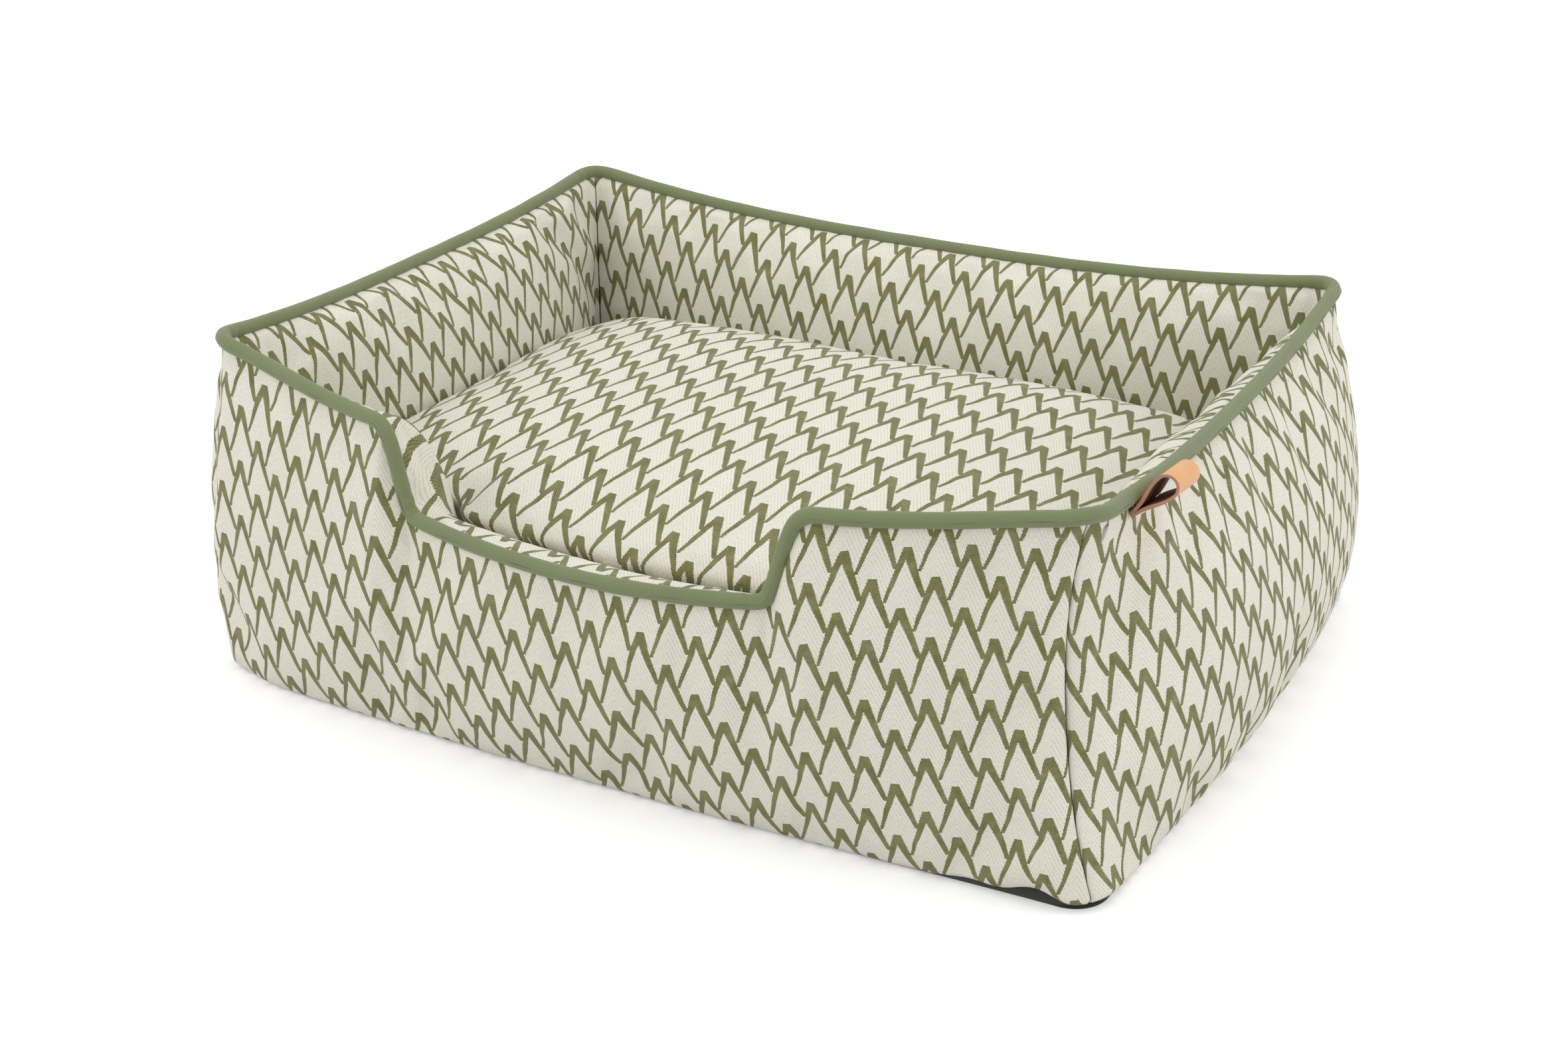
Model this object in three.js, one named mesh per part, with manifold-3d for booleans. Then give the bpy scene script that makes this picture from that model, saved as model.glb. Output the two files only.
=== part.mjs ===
// Dog bed with a stuffed bolster wall, a piped ridge, a low front entry and a loose cushion.
// Millimetres, +Z up, +Y to the back. The bed rests on z = 0 under the middle of its outline.
import * as THREE from 'three';
import { mergeVertices } from 'three/addons/utils/BufferGeometryUtils.js';
import Module from 'manifold-3d';

const wasm = await Module();
wasm.setup();

// ---- driving dimensions ---------------------------------------------------------------------

// Base seam, where the outer walls are sewn to the bottom panel
const baseHalfWidth = 381;
const baseHalfDepth = 288;
const baseCornerRadius = 32;
const baseFrontBow = 9;
const baseSideBow = 9;

// Ridge seam, where the outer and inner walls are sewn together; it leans in over the base
const ridgeLeanSides = 27;
const ridgeLeanEnds = 23;
const ridgeHalfWidth = baseHalfWidth - ridgeLeanSides;
const ridgeHalfDepth = baseHalfDepth - ridgeLeanEnds;
const ridgeCornerRadius = 22;
const ridgeCornerHeight = 272;
const sideSag = 15;
const backSag = 23;
const frontBow = 47;
const sideBow = 2.5;

// Low front entry
const entryHalfWidth = 152;
const entryStepRun = 26;
const entryDrop = 112;
const entryHeight = ridgeCornerHeight - entryDrop;
const entryEndRise = 12;
const shoulderDrop = 24;
const shoulderHeight = ridgeCornerHeight - shoulderDrop;

// Stuffed walls
const wallThickness = 98;
const creaseInset = 46;
const crownPower = 1.8;
const lowBulge = 14;
const highBulge = 34;
const cornerHighBulge = 10;
const topRound = 36;
const cornerTopRound = 10;
const topCrown = 9;
const entryTopCrown = 17;

// Cloth, seams and clearances
const clothThickness = 1.5;
const edgeParing = 1;
const clearance = 0.4;
const seamTrim = 4;
const leastLean = 0.65;
const fillTrim = 16;
const mitreGap = 0.0016;

// Piping: a cord wrapped in a bias strip whose two edges run down into the ridge seam
const pipingRadius = 5;
const pipingCloth = 1;
const pipingRise = 3;
const flangeHalf = 1.1;
const flangeSlitHalf = 0.25;
const flangeDepth = 6.2;

// Bottom panel and inside floor
const basePanelThickness = 2.5;
const baseRimHeight = 8;
const baseRimInset = 5;
const floorThickness = 1.5;

// Loose cushion
const cushionGap = 2.5;
const cushionTop = 188;
const cushionSeamHeight = 80;
const cushionContact = 156;
const cushionCornerContact = 122;
const cushionCornerCut = 0.84;
const cushionCloth = 1.5;

// Zips: one in the back wall, one in the underside of the cushion
const tapeWidth = 11;
const tapeThickness = 0.8;
const coilWidth = 5.2;
const coilHeight = 2;
const coilGroove = 0.8;
const sliderLength = 11;
const sliderPlate = 1.3;
const sliderFlange = 1.2;
const zipPocketDepth = 7.5;
const shellZipLength = 500;
const shellZipHeight = 34;
const cushionZipLength = 400;
const cushionZipFromBack = 75;
const pullLength = 16;
const pullWidth = 4.6;
const pullThickness = 1;
const pinRadius = 0.7;
const pinStandoff = 2.2;
const earThickness = 0.9;

// Leather loop sewn in under the piping on the right wall, just behind the front corner
const loopWidth = 38;
const loopLeather = 2;
const loopLength = 41;
const loopHalfHeight = 8.5;
const loopTilt = 47;
const loopBelowSeam = 8.4;
const loopFromFront = 72;

// ---- finishes ---------------------------------------------------------------------------------

const finish = (color, roughness, metalness) => new THREE.MeshStandardMaterial({ color, roughness, metalness });
const wallCloth = finish(0xd8d3be, 0.95, 0);
const pipingStrip = finish(0x7d9168, 0.85, 0);
const baseCloth = finish(0x37372f, 0.9, 0);
const liningCloth = finish(0xd9d5c8, 0.95, 0);
const fibre = finish(0xf2f0ea, 1, 0);
const cottonCord = finish(0xe9e4d6, 0.95, 0);
const tanLeather = finish(0xdba377, 0.6, 0);
const zipTape = finish(0xcfc9b4, 0.9, 0);
const zipNylon = finish(0xc2bca6, 0.45, 0);
const zipMetal = finish(0x8f8c82, 0.35, 1);

// ---- building closed bodies -------------------------------------------------------------------

const up = new THREE.Vector3(0, 0, 1);
const bed = new THREE.Group();
const mix = THREE.MathUtils.lerp;

function addPiece(name, geometry, material) {
  const mesh = new THREE.Mesh(geometry, material);
  mesh.name = name;
  bed.add(mesh);
}

function bodyFrom(points, triangles) {
  const volumeOf = ([a, b, c]) => points[a].dot(new THREE.Vector3().crossVectors(points[b], points[c]));
  const volume = triangles.reduce((sum, triangle) => sum + volumeOf(triangle), 0);
  const facing = volume > 0 ? triangles : triangles.map(([a, b, c]) => [a, c, b]);
  return new THREE.BufferGeometry().setFromPoints(points).setIndex(facing.flat());
}

// Four-sided faces between two closed rows of points; from a given place on, the other diagonal
// folds them, so that both faces of a cloth panel fold alike
function stitch(triangles, rowA, rowB, otherFrom = Infinity) {
  rowA.forEach((a, i) => {
    const j = (i + 1) % rowA.length;
    if (i < otherFrom) triangles.push([a, rowA[j], rowB[j]], [a, rowB[j], rowB[i]]);
    else triangles.push([a, rowA[j], rowB[i]], [rowA[j], rowB[j], rowB[i]]);
  });
}

// A closed body through rings, from a pole in its middle to another pole. The rings that lead back to
// the widest one fold on the diagonal that a cover's other face folds on.
function bodyOfRings(startPole, rings, endPole, turnedRings = 0) {
  const width = rings[0].length;
  const points = [startPole, ...rings.flat(), endPole];
  const rows = rings.map((ring, k) => ring.map((_, i) => 1 + k * width + i));
  const triangles = [];
  for (let i = 0; i < width; i += 1) {
    const j = (i + 1) % width;
    triangles.push([0, rows[0][j], rows[0][i]]);
    triangles.push([points.length - 1, rows.at(-1)[i], rows.at(-1)[j]]);
  }
  for (let k = 0; k + 1 < rows.length; k += 1) {
    stitch(triangles, rows[k], rows[k + 1], k + 1 < turnedRings ? 0 : Infinity);
  }
  return bodyFrom(points, triangles);
}

// A closed body through like closed sections; capTriangles gives an end section's own triangles
function bodyOfSections(sections, capTriangles, otherFrom) {
  const width = sections[0].length;
  const rows = sections.map((section, k) => section.map((_, i) => k * width + i));
  const triangles = [];
  for (let k = 0; k + 1 < rows.length; k += 1) stitch(triangles, rows[k], rows[k + 1], otherFrom);
  const capOf = (k, forward) => {
    for (const [a, b, c] of capTriangles(k)) {
      const rising = (b - a + width) % width < (c - a + width) % width;
      const [second, third] = rising === forward ? [b, c] : [c, b];
      triangles.push([rows[k][a], rows[k][second], rows[k][third]]);
    }
  };
  capOf(0, false);
  capOf(sections.length - 1, true);
  return bodyFrom(sections.flat(), triangles);
}

// A closed body through closed rings that run round a loop
function bodyOfLoop(rings) {
  const width = rings[0].length;
  const rows = rings.map((ring, k) => ring.map((_, i) => k * width + i));
  const triangles = [];
  rows.forEach((row, k) => stitch(triangles, row, rows[(k + 1) % rows.length]));
  return bodyFrom(rings.flat(), triangles);
}

function solidOf(geometry) {
  const bare = geometry.clone();
  bare.deleteAttribute('normal');
  bare.deleteAttribute('uv');
  const merged = mergeVertices(bare, 1e-4);
  const mesh = new wasm.Mesh({
    numProp: 3,
    vertProperties: new Float32Array(merged.attributes.position.array),
    triVerts: new Uint32Array(merged.index.array),
  });
  return new wasm.Manifold(mesh);
}

function geometryOf(solid) {
  const mesh = solid.getMesh();
  const geometry = new THREE.BufferGeometry();
  geometry.setAttribute('position', new THREE.BufferAttribute(Float32Array.from(mesh.vertProperties), 3));
  geometry.setIndex(Array.from(mesh.triVerts));
  return geometry;
}

// What is left of a body beside a tool, with the slivers along the cut merged away
function cutAway(geometry, tool) {
  return geometryOf(solidOf(geometry).subtract(solidOf(tool)).simplify(0.01));
}

function box(centre, size) {
  return new THREE.BoxGeometry(...size).translate(...centre);
}

// ---- the four walls ---------------------------------------------------------------------------

// Each side looks out along out, and runs along along, counter-clockwise round the bed from above
const alongX = { ridge: ridgeHalfWidth, base: baseHalfWidth };
const alongY = { ridge: ridgeHalfDepth, base: baseHalfDepth };
const sides = {
  front: {
    along: new THREE.Vector3(1, 0, 0),
    out: new THREE.Vector3(0, -1, 0),
    length: alongX,
    reach: alongY,
    bow: { ridge: frontBow, base: baseFrontBow },
    height: (x) => frontHeight(Math.abs(x)),
  },
  right: {
    along: new THREE.Vector3(0, 1, 0),
    out: new THREE.Vector3(1, 0, 0),
    length: alongY,
    reach: alongX,
    bow: { ridge: sideBow, base: baseSideBow },
    height: (y) => saggedHeight(y / ridgeHalfDepth, sideSag),
  },
  back: {
    along: new THREE.Vector3(-1, 0, 0),
    out: new THREE.Vector3(0, 1, 0),
    length: alongX,
    reach: alongY,
    bow: { ridge: 0, base: 0 },
    height: (x) => saggedHeight(x / ridgeHalfWidth, backSag),
  },
  left: {
    along: new THREE.Vector3(0, -1, 0),
    out: new THREE.Vector3(-1, 0, 0),
    length: alongY,
    reach: alongX,
    bow: { ridge: sideBow, base: baseSideBow },
    height: (y) => saggedHeight(y / ridgeHalfDepth, sideSag),
  },
};

function saggedHeight(share, sag) {
  return ridgeCornerHeight - sag * (1 - Math.abs(share) ** 2.6);
}

// The front ridge falls from the corner to a level shoulder, then steps down to the entry
function frontHeight(x) {
  const outward = THREE.MathUtils.clamp((x - entryHalfWidth) / (ridgeHalfWidth - entryHalfWidth), 0, 1);
  const fall = Math.cos((outward * Math.PI) / 2);
  const shoulder = ridgeCornerHeight - (ridgeCornerHeight - shoulderHeight) * fall;
  const entry = entryHeight + entryEndRise * Math.min(1, x / entryHalfWidth) ** 2;
  const step = THREE.MathUtils.smoothstep(x, entryHalfWidth - entryStepRun / 2, entryHalfWidth + entryStepRun / 2);
  return mix(entry, shoulder, step);
}

// A station s runs from -1 at one corner's middle to 1 at the next; the last part of each end turns
const straightShare = 0.94;
const cornerTurn = Math.PI / 4;

function turnAt(s) {
  const past = Math.max(0, Math.abs(s) - straightShare) / (1 - straightShare);
  return Math.sign(s) * past * cornerTurn;
}

function outlinePoint(side, which, s, radius) {
  const share = THREE.MathUtils.clamp(s / straightShare, -1, 1);
  const turn = turnAt(s);
  const run = side.length[which] - radius;
  const bow = side.bow[which] * (1 - share ** 2) ** 1.5;
  const alongBy = run * share + radius * Math.sin(turn);
  const outBy = side.reach[which] - radius + radius * Math.cos(turn) + bow;
  return side.along.clone().multiplyScalar(alongBy).addScaledVector(side.out, outBy);
}

function outwardAt(side, s) {
  const turn = turnAt(s);
  return side.out.clone().multiplyScalar(Math.cos(turn)).addScaledVector(side.along, Math.sin(turn));
}

function seamPoint(side, s) {
  const point = outlinePoint(side, 'ridge', s, ridgeCornerRadius);
  return point.setZ(side.height(point.dot(side.along)));
}

// Inner face of a wall in plan: thickest in its middle, pulled thin to a crease at each corner
function innerPoint(side, s) {
  const corner = { along: side.length.base - creaseInset, out: side.reach.base - creaseInset };
  const middle = side.reach.base + side.bow.base + lowBulge * 0.45 - wallThickness;
  const outBy = corner.out - (corner.out - middle) * (1 - Math.min(1, Math.abs(s)) ** crownPower);
  return side.along.clone().multiplyScalar(corner.along * s).addScaledVector(side.out, outBy);
}

const hemHeight = baseRimHeight + clearance;
const floorHeight = basePanelThickness + clearance;
const fullRise = ridgeCornerHeight - hemHeight;

function outerCurve(side, s) {
  const seam = seamPoint(side, s);
  const hem = outlinePoint(side, 'base', s, baseCornerRadius).setZ(hemHeight);
  const outward = outwardAt(side, s);
  const middle = 1 - Math.min(1, Math.abs(s)) ** 3;
  const rise = seam.z - hem.z;
  const low = lowBulge * (0.55 + 0.45 * middle);
  const high = mix(cornerHighBulge, highBulge, middle) * (rise / fullRise) ** 2;
  const lower = hem.clone().addScaledVector(outward, low).addScaledVector(up, 0.28 * rise);
  const upper = seam.clone().addScaledVector(outward, high).addScaledVector(up, -0.33 * rise);
  return new THREE.CubicBezierCurve3(hem, lower, upper, seam);
}

function innerCurve(side, s) {
  const seam = seamPoint(side, s);
  const foot = innerPoint(side, s).setZ(floorHeight);
  const outward = outwardAt(side, s);
  const middle = 1 - Math.min(1, Math.abs(s)) ** 3;
  const lowness = (ridgeCornerHeight - seam.z) / (ridgeCornerHeight - entryHeight);
  const crown = middle * mix(topCrown, entryTopCrown, lowness);
  const round = mix(cornerTopRound, topRound, middle);
  const top = seam.clone().addScaledVector(outward, -round).addScaledVector(up, crown);
  const bottom = foot.clone().setZ(0.86 * seam.z);
  return new THREE.CubicBezierCurve3(seam, top, bottom, foot);
}

// Outward normal of a wall face from its slopes along and across
function faceNormal(curveOf, side, s, t) {
  const step = 1e-3;
  const [t0, t1] = [Math.max(0, t - step), Math.min(1, t + step)];
  const [s0, s1] = [Math.max(-1, s - step), Math.min(1, s + step)];
  const acrossFace = curveOf(side, s).getPoint(t1).sub(curveOf(side, s).getPoint(t0));
  const alongFace = curveOf(side, s1).getPoint(t).sub(curveOf(side, s0).getPoint(t));
  return alongFace.cross(acrossFace).normalize();
}

// Share of a wall curve at a straight distance from its seam end
function shareFromSeam(curve, seam, distance) {
  let [near, far] = [seam, 0.5];
  for (let k = 0; k < 40; k += 1) {
    const middle = (near + far) / 2;
    const reached = curve.getPoint(middle).distanceTo(curve.getPoint(seam)) > distance;
    if (reached) far = middle;
    else near = middle;
  }
  return (near + far) / 2;
}

// Shares at which a wall face is sampled: its cut edge at the seam and a fold just below it, which
// only the cloth has, then the stuffing's edge, then evenly
const faceSteps = [0.25, 0.5, 0.75, 1];
const clothOnlyShares = 2;

// Where the ridge runs steeply, a cut at a set distance from it lies further down the wall
function steepness(side, s) {
  const run = seamPoint(side, s + 1e-3).sub(seamPoint(side, s - 1e-3));
  return run.length() / Math.hypot(run.x, run.y);
}

function fillDistance(side, s) {
  return Math.max(fillTrim, (flangeDepth + 3 * clothThickness) * steepness(side, s));
}

function seamShares(curve, seam, side, s) {
  const cut = seamTrim * steepness(side, s);
  const fill = fillDistance(side, s);
  return [cut, mix(cut, fill, 0.4), fill].map((distance) => shareFromSeam(curve, seam, distance));
}

function outerShares(side, s) {
  const [cut, fold, fill] = seamShares(outerCurve(side, s), 1, side, s);
  return [...faceSteps.map((k) => fill * (1 - k)).reverse(), fill, fold, cut];
}

function innerShares(side, s) {
  const [cut, fold, fill] = seamShares(innerCurve(side, s), 0, side, s);
  return [cut, fold, fill, ...faceSteps.map((k) => mix(fill, 1, k))];
}

// Run of the seam, brought level at the corners, where the ends of two walls meet in a mitre
function seamTangent(side, s) {
  const run = seamPoint(side, s + 1e-3).sub(seamPoint(side, s - 1e-3));
  const levelled = 1 - Math.min(1, Math.abs(s)) ** 20;
  return run.setZ(run.z * levelled).normalize();
}

// The direction in which the seam allowance runs into the wall, square to the seam between the faces
function seamInward(side, s) {
  const seam = seamPoint(side, s);
  const tangent = seamTangent(side, s);
  const reach = flangeDepth * steepness(side, s);
  const alongFace = (curve, end) =>
    curve.getPoint(shareFromSeam(curve, end, reach)).sub(seam).projectOnPlane(tangent).normalize();
  return alongFace(outerCurve(side, s), 1).add(alongFace(innerCurve(side, s), 0)).normalize();
}

function stationsOf(name) {
  const end = 1 - mitreGap;
  const turn = [straightShare, mix(straightShare, end, 0.5), end];
  const stepAt = (x) => (x / (ridgeHalfWidth - ridgeCornerRadius)) * straightShare;
  const plain = [0, 0.18, 0.36, 0.54, 0.7, 0.83];
  const stepRun = [-0.62, -0.38, -0.18, 0, 0.18, 0.38, 0.62].map((k) => stepAt(entryHalfWidth + k * entryStepRun));
  const beyond = mix(entryHalfWidth, ridgeHalfWidth, 0.5);
  const front = [0, stepAt(entryHalfWidth * 0.4), stepAt(entryHalfWidth * 0.72), ...stepRun, stepAt(beyond), 0.83];
  const half = [...(name === 'front' ? front : plain), ...turn];
  return [...half.slice(1).map((s) => -s).reverse(), ...half];
}

function offsetInto(curveOf, side, s, t, depth) {
  const point = curveOf(side, s).getPoint(t);
  return point.addScaledVector(faceNormal(curveOf, side, s, t), -depth);
}

// A cloth panel: the wall face and the same face one cloth thickness in, cut parallel to the seam.
// Its lower edge is pared on a slant, so that it lies thin against the floor or the base
function panelBody(side, stations, curveOf, sharesOf) {
  const sections = stations.map((s) => {
    const curve = curveOf(side, s);
    const shares = sharesOf(side, s);
    const seamEnd = curve.v3.z > curve.v0.z ? shares.length - 1 : 0;
    const lowerEnd = shares.length - 1 - seamEnd;
    const face = shares.map((t) => curve.getPoint(t));
    const behind = shares.map((t, k) => {
      const inside = offsetInto(curveOf, side, s, t, clothThickness);
      if (k === lowerEnd) return inside.addScaledVector(up, edgeParing);
      if (k !== seamEnd) return inside;
      const inward = seamInward(side, s);
      const lean = Math.max(leastLean, -inward.dot(faceNormal(curveOf, side, s, t)));
      return face[k].clone().addScaledVector(inward, clothThickness / lean);
    });
    return [...face, ...behind.reverse()];
  });
  const last = sections[0].length - 1;
  const rung = (_, k) => [[k, k + 1, last - k - 1], [k, last - k - 1, last - k]];
  return bodyOfSections(sections, () => Array.from({ length: (last - 1) / 2 }, rung).flat(), (last + 1) / 2);
}

// The stuffing of one wall, just inside its two cloth faces, on the bottom panel
function fillBody(side, stations) {
  const inset = clothThickness + clearance;
  const sections = stations.map((s) => {
    const outer = outerCurve(side, s);
    const outerFill = outerShares(side, s).slice(0, -clothOnlyShares);
    const innerFill = innerShares(side, s).slice(clothOnlyShares);
    const outwards = outerFill.map((t) => offsetInto(outerCurve, side, s, t, inset));
    const inwards = innerFill.map((t) => offsetInto(innerCurve, side, s, t, inset));
    const heel = outer.v0.clone().addScaledVector(outwardAt(side, s), -(baseRimInset + 2 * basePanelThickness));
    return [heel.setZ(floorHeight), ...outwards, ...inwards];
  });
  const flattened = (k) => sections[k].map((p) => new THREE.Vector2(p.dot(outwardAt(side, stations[k])), p.z));
  return bodyOfSections(sections, (k) => THREE.ShapeUtils.triangulateShape(flattened(k), []));
}

// ---- zips -------------------------------------------------------------------------------------

// A zip lies in its own frame: x along it, y out of the cloth, z across it
const sliderInside = coilWidth / 2 + clearance;
const sliderWidth = 2 * (sliderInside + sliderFlange);
const coilBase = tapeThickness + clearance;
const plateBase = coilBase + coilHeight + clearance;
const pinHeight = plateBase + sliderPlate + pinStandoff;
const eyeInner = pinRadius + clearance;
const eyeOuter = pinStandoff - clearance;
const eyeWidth = 3;
const zipPocketWidth = 2 * tapeWidth + 2.4;

function tapeBody(length, direction) {
  const gap = clearance / 2;
  return box([0, tapeThickness / 2, direction * (gap + tapeWidth / 2)], [length, tapeThickness, tapeWidth]);
}

// The closed coil: a low rounded rib with a groove along its middle where the two rows meet
function coilBody(length) {
  const half = coilWidth / 2;
  const profile = new THREE.Shape();
  profile.moveTo(-half, 0);
  profile.lineTo(half, 0);
  profile.lineTo(half, coilHeight * 0.5);
  profile.quadraticCurveTo(half, coilHeight, half * 0.5, coilHeight);
  profile.lineTo(coilGroove / 2, coilHeight);
  profile.lineTo(0, coilHeight - coilGroove);
  profile.lineTo(-coilGroove / 2, coilHeight);
  profile.lineTo(-half * 0.5, coilHeight);
  profile.quadraticCurveTo(-half, coilHeight, -half, coilHeight * 0.5);
  const rib = new THREE.ExtrudeGeometry(profile, { depth: length, bevelEnabled: false, curveSegments: 3 });
  rib.rotateY(Math.PI / 2);
  return rib.translate(-length / 2, coilBase, 0);
}

// A saddle slider: a plate over the coil with a flange down each side of it
function sliderBody() {
  const half = sliderWidth / 2;
  const profile = new THREE.Shape();
  profile.moveTo(-half, coilBase);
  profile.lineTo(-sliderInside, coilBase);
  profile.lineTo(-sliderInside, plateBase);
  profile.lineTo(sliderInside, plateBase);
  profile.lineTo(sliderInside, coilBase);
  profile.lineTo(half, coilBase);
  profile.lineTo(half, plateBase + sliderPlate * 0.4);
  profile.lineTo(half - sliderPlate * 0.6, plateBase + sliderPlate);
  profile.lineTo(-half + sliderPlate * 0.6, plateBase + sliderPlate);
  profile.lineTo(-half, plateBase + sliderPlate * 0.4);
  const saddle = new THREE.ExtrudeGeometry(profile, { depth: sliderLength, bevelEnabled: false });
  saddle.rotateY(Math.PI / 2);
  return saddle.translate(-sliderLength / 2, 0, 0);
}

// Two ears on the slider's plate with a pin between them, for the pull to hang on
function earsAndPin() {
  const foot = plateBase + sliderPlate - 0.1;
  const earReach = pinHeight + pinRadius + 0.5 - foot;
  const earOffset = eyeWidth / 2 + clearance + earThickness / 2;
  const span = 2 * earOffset + earThickness;
  const pin = new THREE.CylinderGeometry(pinRadius, pinRadius, span - 0.2, 12).rotateZ(Math.PI / 2);
  const ears = [-1, 1].map((k) => box([k * earOffset, foot + earReach / 2, 0], [earThickness, earReach, 2.6]));
  return [pin.translate(0, pinHeight, 0), ...ears];
}

function joined(geometries) {
  return geometryOf(geometries.map(solidOf).reduce((sum, solid) => sum.add(solid)));
}

// The pull: an eye round the pin, a waist and a rounded tab, hanging down
function pullBody() {
  const outline = new THREE.Shape();
  outline.absarc(0, 0, eyeOuter, 0, Math.PI * 2);
  const eyeHole = new THREE.Path();
  eyeHole.absarc(0, 0, eyeInner, 0, Math.PI * 2);
  outline.holes.push(eyeHole);
  const eye = new THREE.ExtrudeGeometry(outline, { depth: eyeWidth, bevelEnabled: false, curveSegments: 8 });
  eye.rotateY(Math.PI / 2).translate(-eyeWidth / 2, 0, 0);
  const tab = new THREE.Shape();
  const foot = eyeOuter - 0.5;
  tab.moveTo(-eyeWidth / 2, -foot);
  tab.lineTo(-pullWidth / 2, -foot - 4);
  tab.lineTo(-pullWidth / 2, -pullLength + pullWidth / 2);
  tab.absarc(0, -pullLength + pullWidth / 2, pullWidth / 2, Math.PI, Math.PI * 2);
  tab.lineTo(pullWidth / 2, -foot - 4);
  tab.lineTo(eyeWidth / 2, -foot);
  const plate = new THREE.ExtrudeGeometry(tab, { depth: pullThickness, bevelEnabled: false, curveSegments: 6 });
  plate.rotateX(Math.PI / 2).translate(0, pullThickness / 2, 0);
  return joined([eye, plate]);
}

// The pull hangs in its own frame from the pin at its origin
const hungOnPin = (geometry) => geometry.translate(0, pinHeight, 0);

// ---- the walls: cloth outside and inside, stuffing between ------------------------------------

const backFace = outerCurve(sides.back, 0);
const backFaceAt = (z) => backFace.getPoint(shareAtHeight(backFace, z, 0, 0.5));
const shellZipPlane = backFaceAt(shellZipHeight).y - plateBase;
const zipPocketLength = shellZipLength + 4;
const shellPocket = box(
  [0, shellZipPlane - clearance + zipPocketDepth, shellZipHeight],
  [zipPocketLength, 2 * zipPocketDepth, zipPocketWidth],
);

// Share at which a wall curve that only rises or only falls passes a height
function shareAtHeight(curve, z, from, to) {
  let [low, high] = [from, to];
  const rising = curve.getPoint(high).z > curve.getPoint(low).z;
  for (let k = 0; k < 40; k += 1) {
    const middle = (low + high) / 2;
    const below = curve.getPoint(middle).z < z;
    if (below === rising) low = middle;
    else high = middle;
  }
  return (low + high) / 2;
}

for (const [name, side] of Object.entries(sides)) {
  const stations = stationsOf(name);
  const zipCut = (geometry) => (name === 'back' ? cutAway(geometry, shellPocket) : geometry);
  addPiece(`outer_${name}_panel`, zipCut(panelBody(side, stations, outerCurve, outerShares)), wallCloth);
  addPiece(`inner_${name}_panel`, panelBody(side, stations, innerCurve, innerShares), wallCloth);
  addPiece(`${name}_bolster_fill`, zipCut(fillBody(side, stations)), fibre);
}

// ---- piping along the ridge -------------------------------------------------------------------

// One frame for each station round the whole ridge: the seam point, and level and rising directions
const ridgeStations = Object.entries(sides).flatMap(([name, side]) => {
  const inside = stationsOf(name).slice(1, -1);
  return [-1, ...inside].map((s) => ({ side, s, seam: seamPoint(side, s) }));
});

const ridgeFrames = ridgeStations.map(({ side, s, seam }, k) => {
  const before = ridgeStations.at(k - 1).seam;
  const after = ridgeStations[(k + 1) % ridgeStations.length].seam;
  const tangent = after.clone().sub(before).normalize();
  const rise = seamInward(side, s).projectOnPlane(tangent).normalize().negate();
  return { seam, rise, across: tangent.cross(rise).normalize() };
});

function alongRidge(section) {
  const ringAt = ({ seam, rise, across }) =>
    section.map(([a, b]) => seam.clone().addScaledVector(across, a).addScaledVector(rise, b));
  return bodyOfLoop(ridgeFrames.map(ringAt));
}

function arcPoints(radius, from, to, count) {
  return Array.from({ length: count }, (_, k) => {
    const angle = mix(from, to, k / (count - 1));
    return [radius * Math.sin(angle), pipingRise - radius * Math.cos(angle)];
  });
}

// The bias strip: round the cord, with both edges side by side down into the seam
function pipingCoverBody() {
  const boreRadius = pipingRadius - pipingCloth;
  const outside = Math.asin(flangeHalf / pipingRadius);
  const inside = Math.asin(flangeSlitHalf / boreRadius);
  const turn = Math.PI * 2;
  return alongRidge([
    [flangeHalf, -flangeDepth],
    ...arcPoints(pipingRadius, outside, turn - outside, 9),
    [-flangeHalf, -flangeDepth],
    [-flangeSlitHalf, -flangeDepth],
    ...arcPoints(boreRadius, turn - inside, inside, 8),
    [flangeSlitHalf, -flangeDepth],
  ]);
}

function pipingCordBody() {
  const count = 7;
  const apart = Math.PI / count;
  const radius = (pipingRadius - pipingCloth) * Math.cos(Math.PI / 8) - clearance;
  return alongRidge(arcPoints(radius, apart, 2 * Math.PI - apart, count));
}

addPiece('piping_cover', pipingCoverBody(), pipingStrip);
addPiece('piping_cord', pipingCordBody(), cottonCord);

// ---- bottom panel and inside floor ------------------------------------------------------------

// The base seam as a level outline, moved in by an inset
function baseOutline(inset, z) {
  return ridgeStations.map(({ side, s }) =>
    outlinePoint(side, 'base', s, baseCornerRadius).addScaledVector(outwardAt(side, s), -inset).setZ(z));
}

// A shallow tray: flat underside, edge turned up to the hem of the walls
function basePanelBody() {
  const wall = basePanelThickness;
  return bodyOfRings(
    new THREE.Vector3(0, 0, 0),
    [
      baseOutline(baseRimInset, 0),
      baseOutline(baseRimInset * 0.3, baseRimHeight * 0.35),
      baseOutline(0, baseRimHeight),
      baseOutline(wall, baseRimHeight),
      baseOutline(baseRimInset + wall, wall),
    ],
    new THREE.Vector3(0, 0, wall),
  );
}

function floorBody() {
  const outline = (z) => ridgeStations.map(({ side, s }) =>
    innerPoint(side, s).addScaledVector(outwardAt(side, s), -clearance * 5).setZ(z));
  const low = floorHeight;
  const high = floorHeight + floorThickness;
  return bodyOfRings(new THREE.Vector3(0, 0, low), [outline(low), outline(high)], new THREE.Vector3(0, 0, high));
}

addPiece('base_panel', basePanelBody(), baseCloth);
addPiece('floor_panel', floorBody(), liningCloth);

// ---- loose cushion ----------------------------------------------------------------------------

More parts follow.
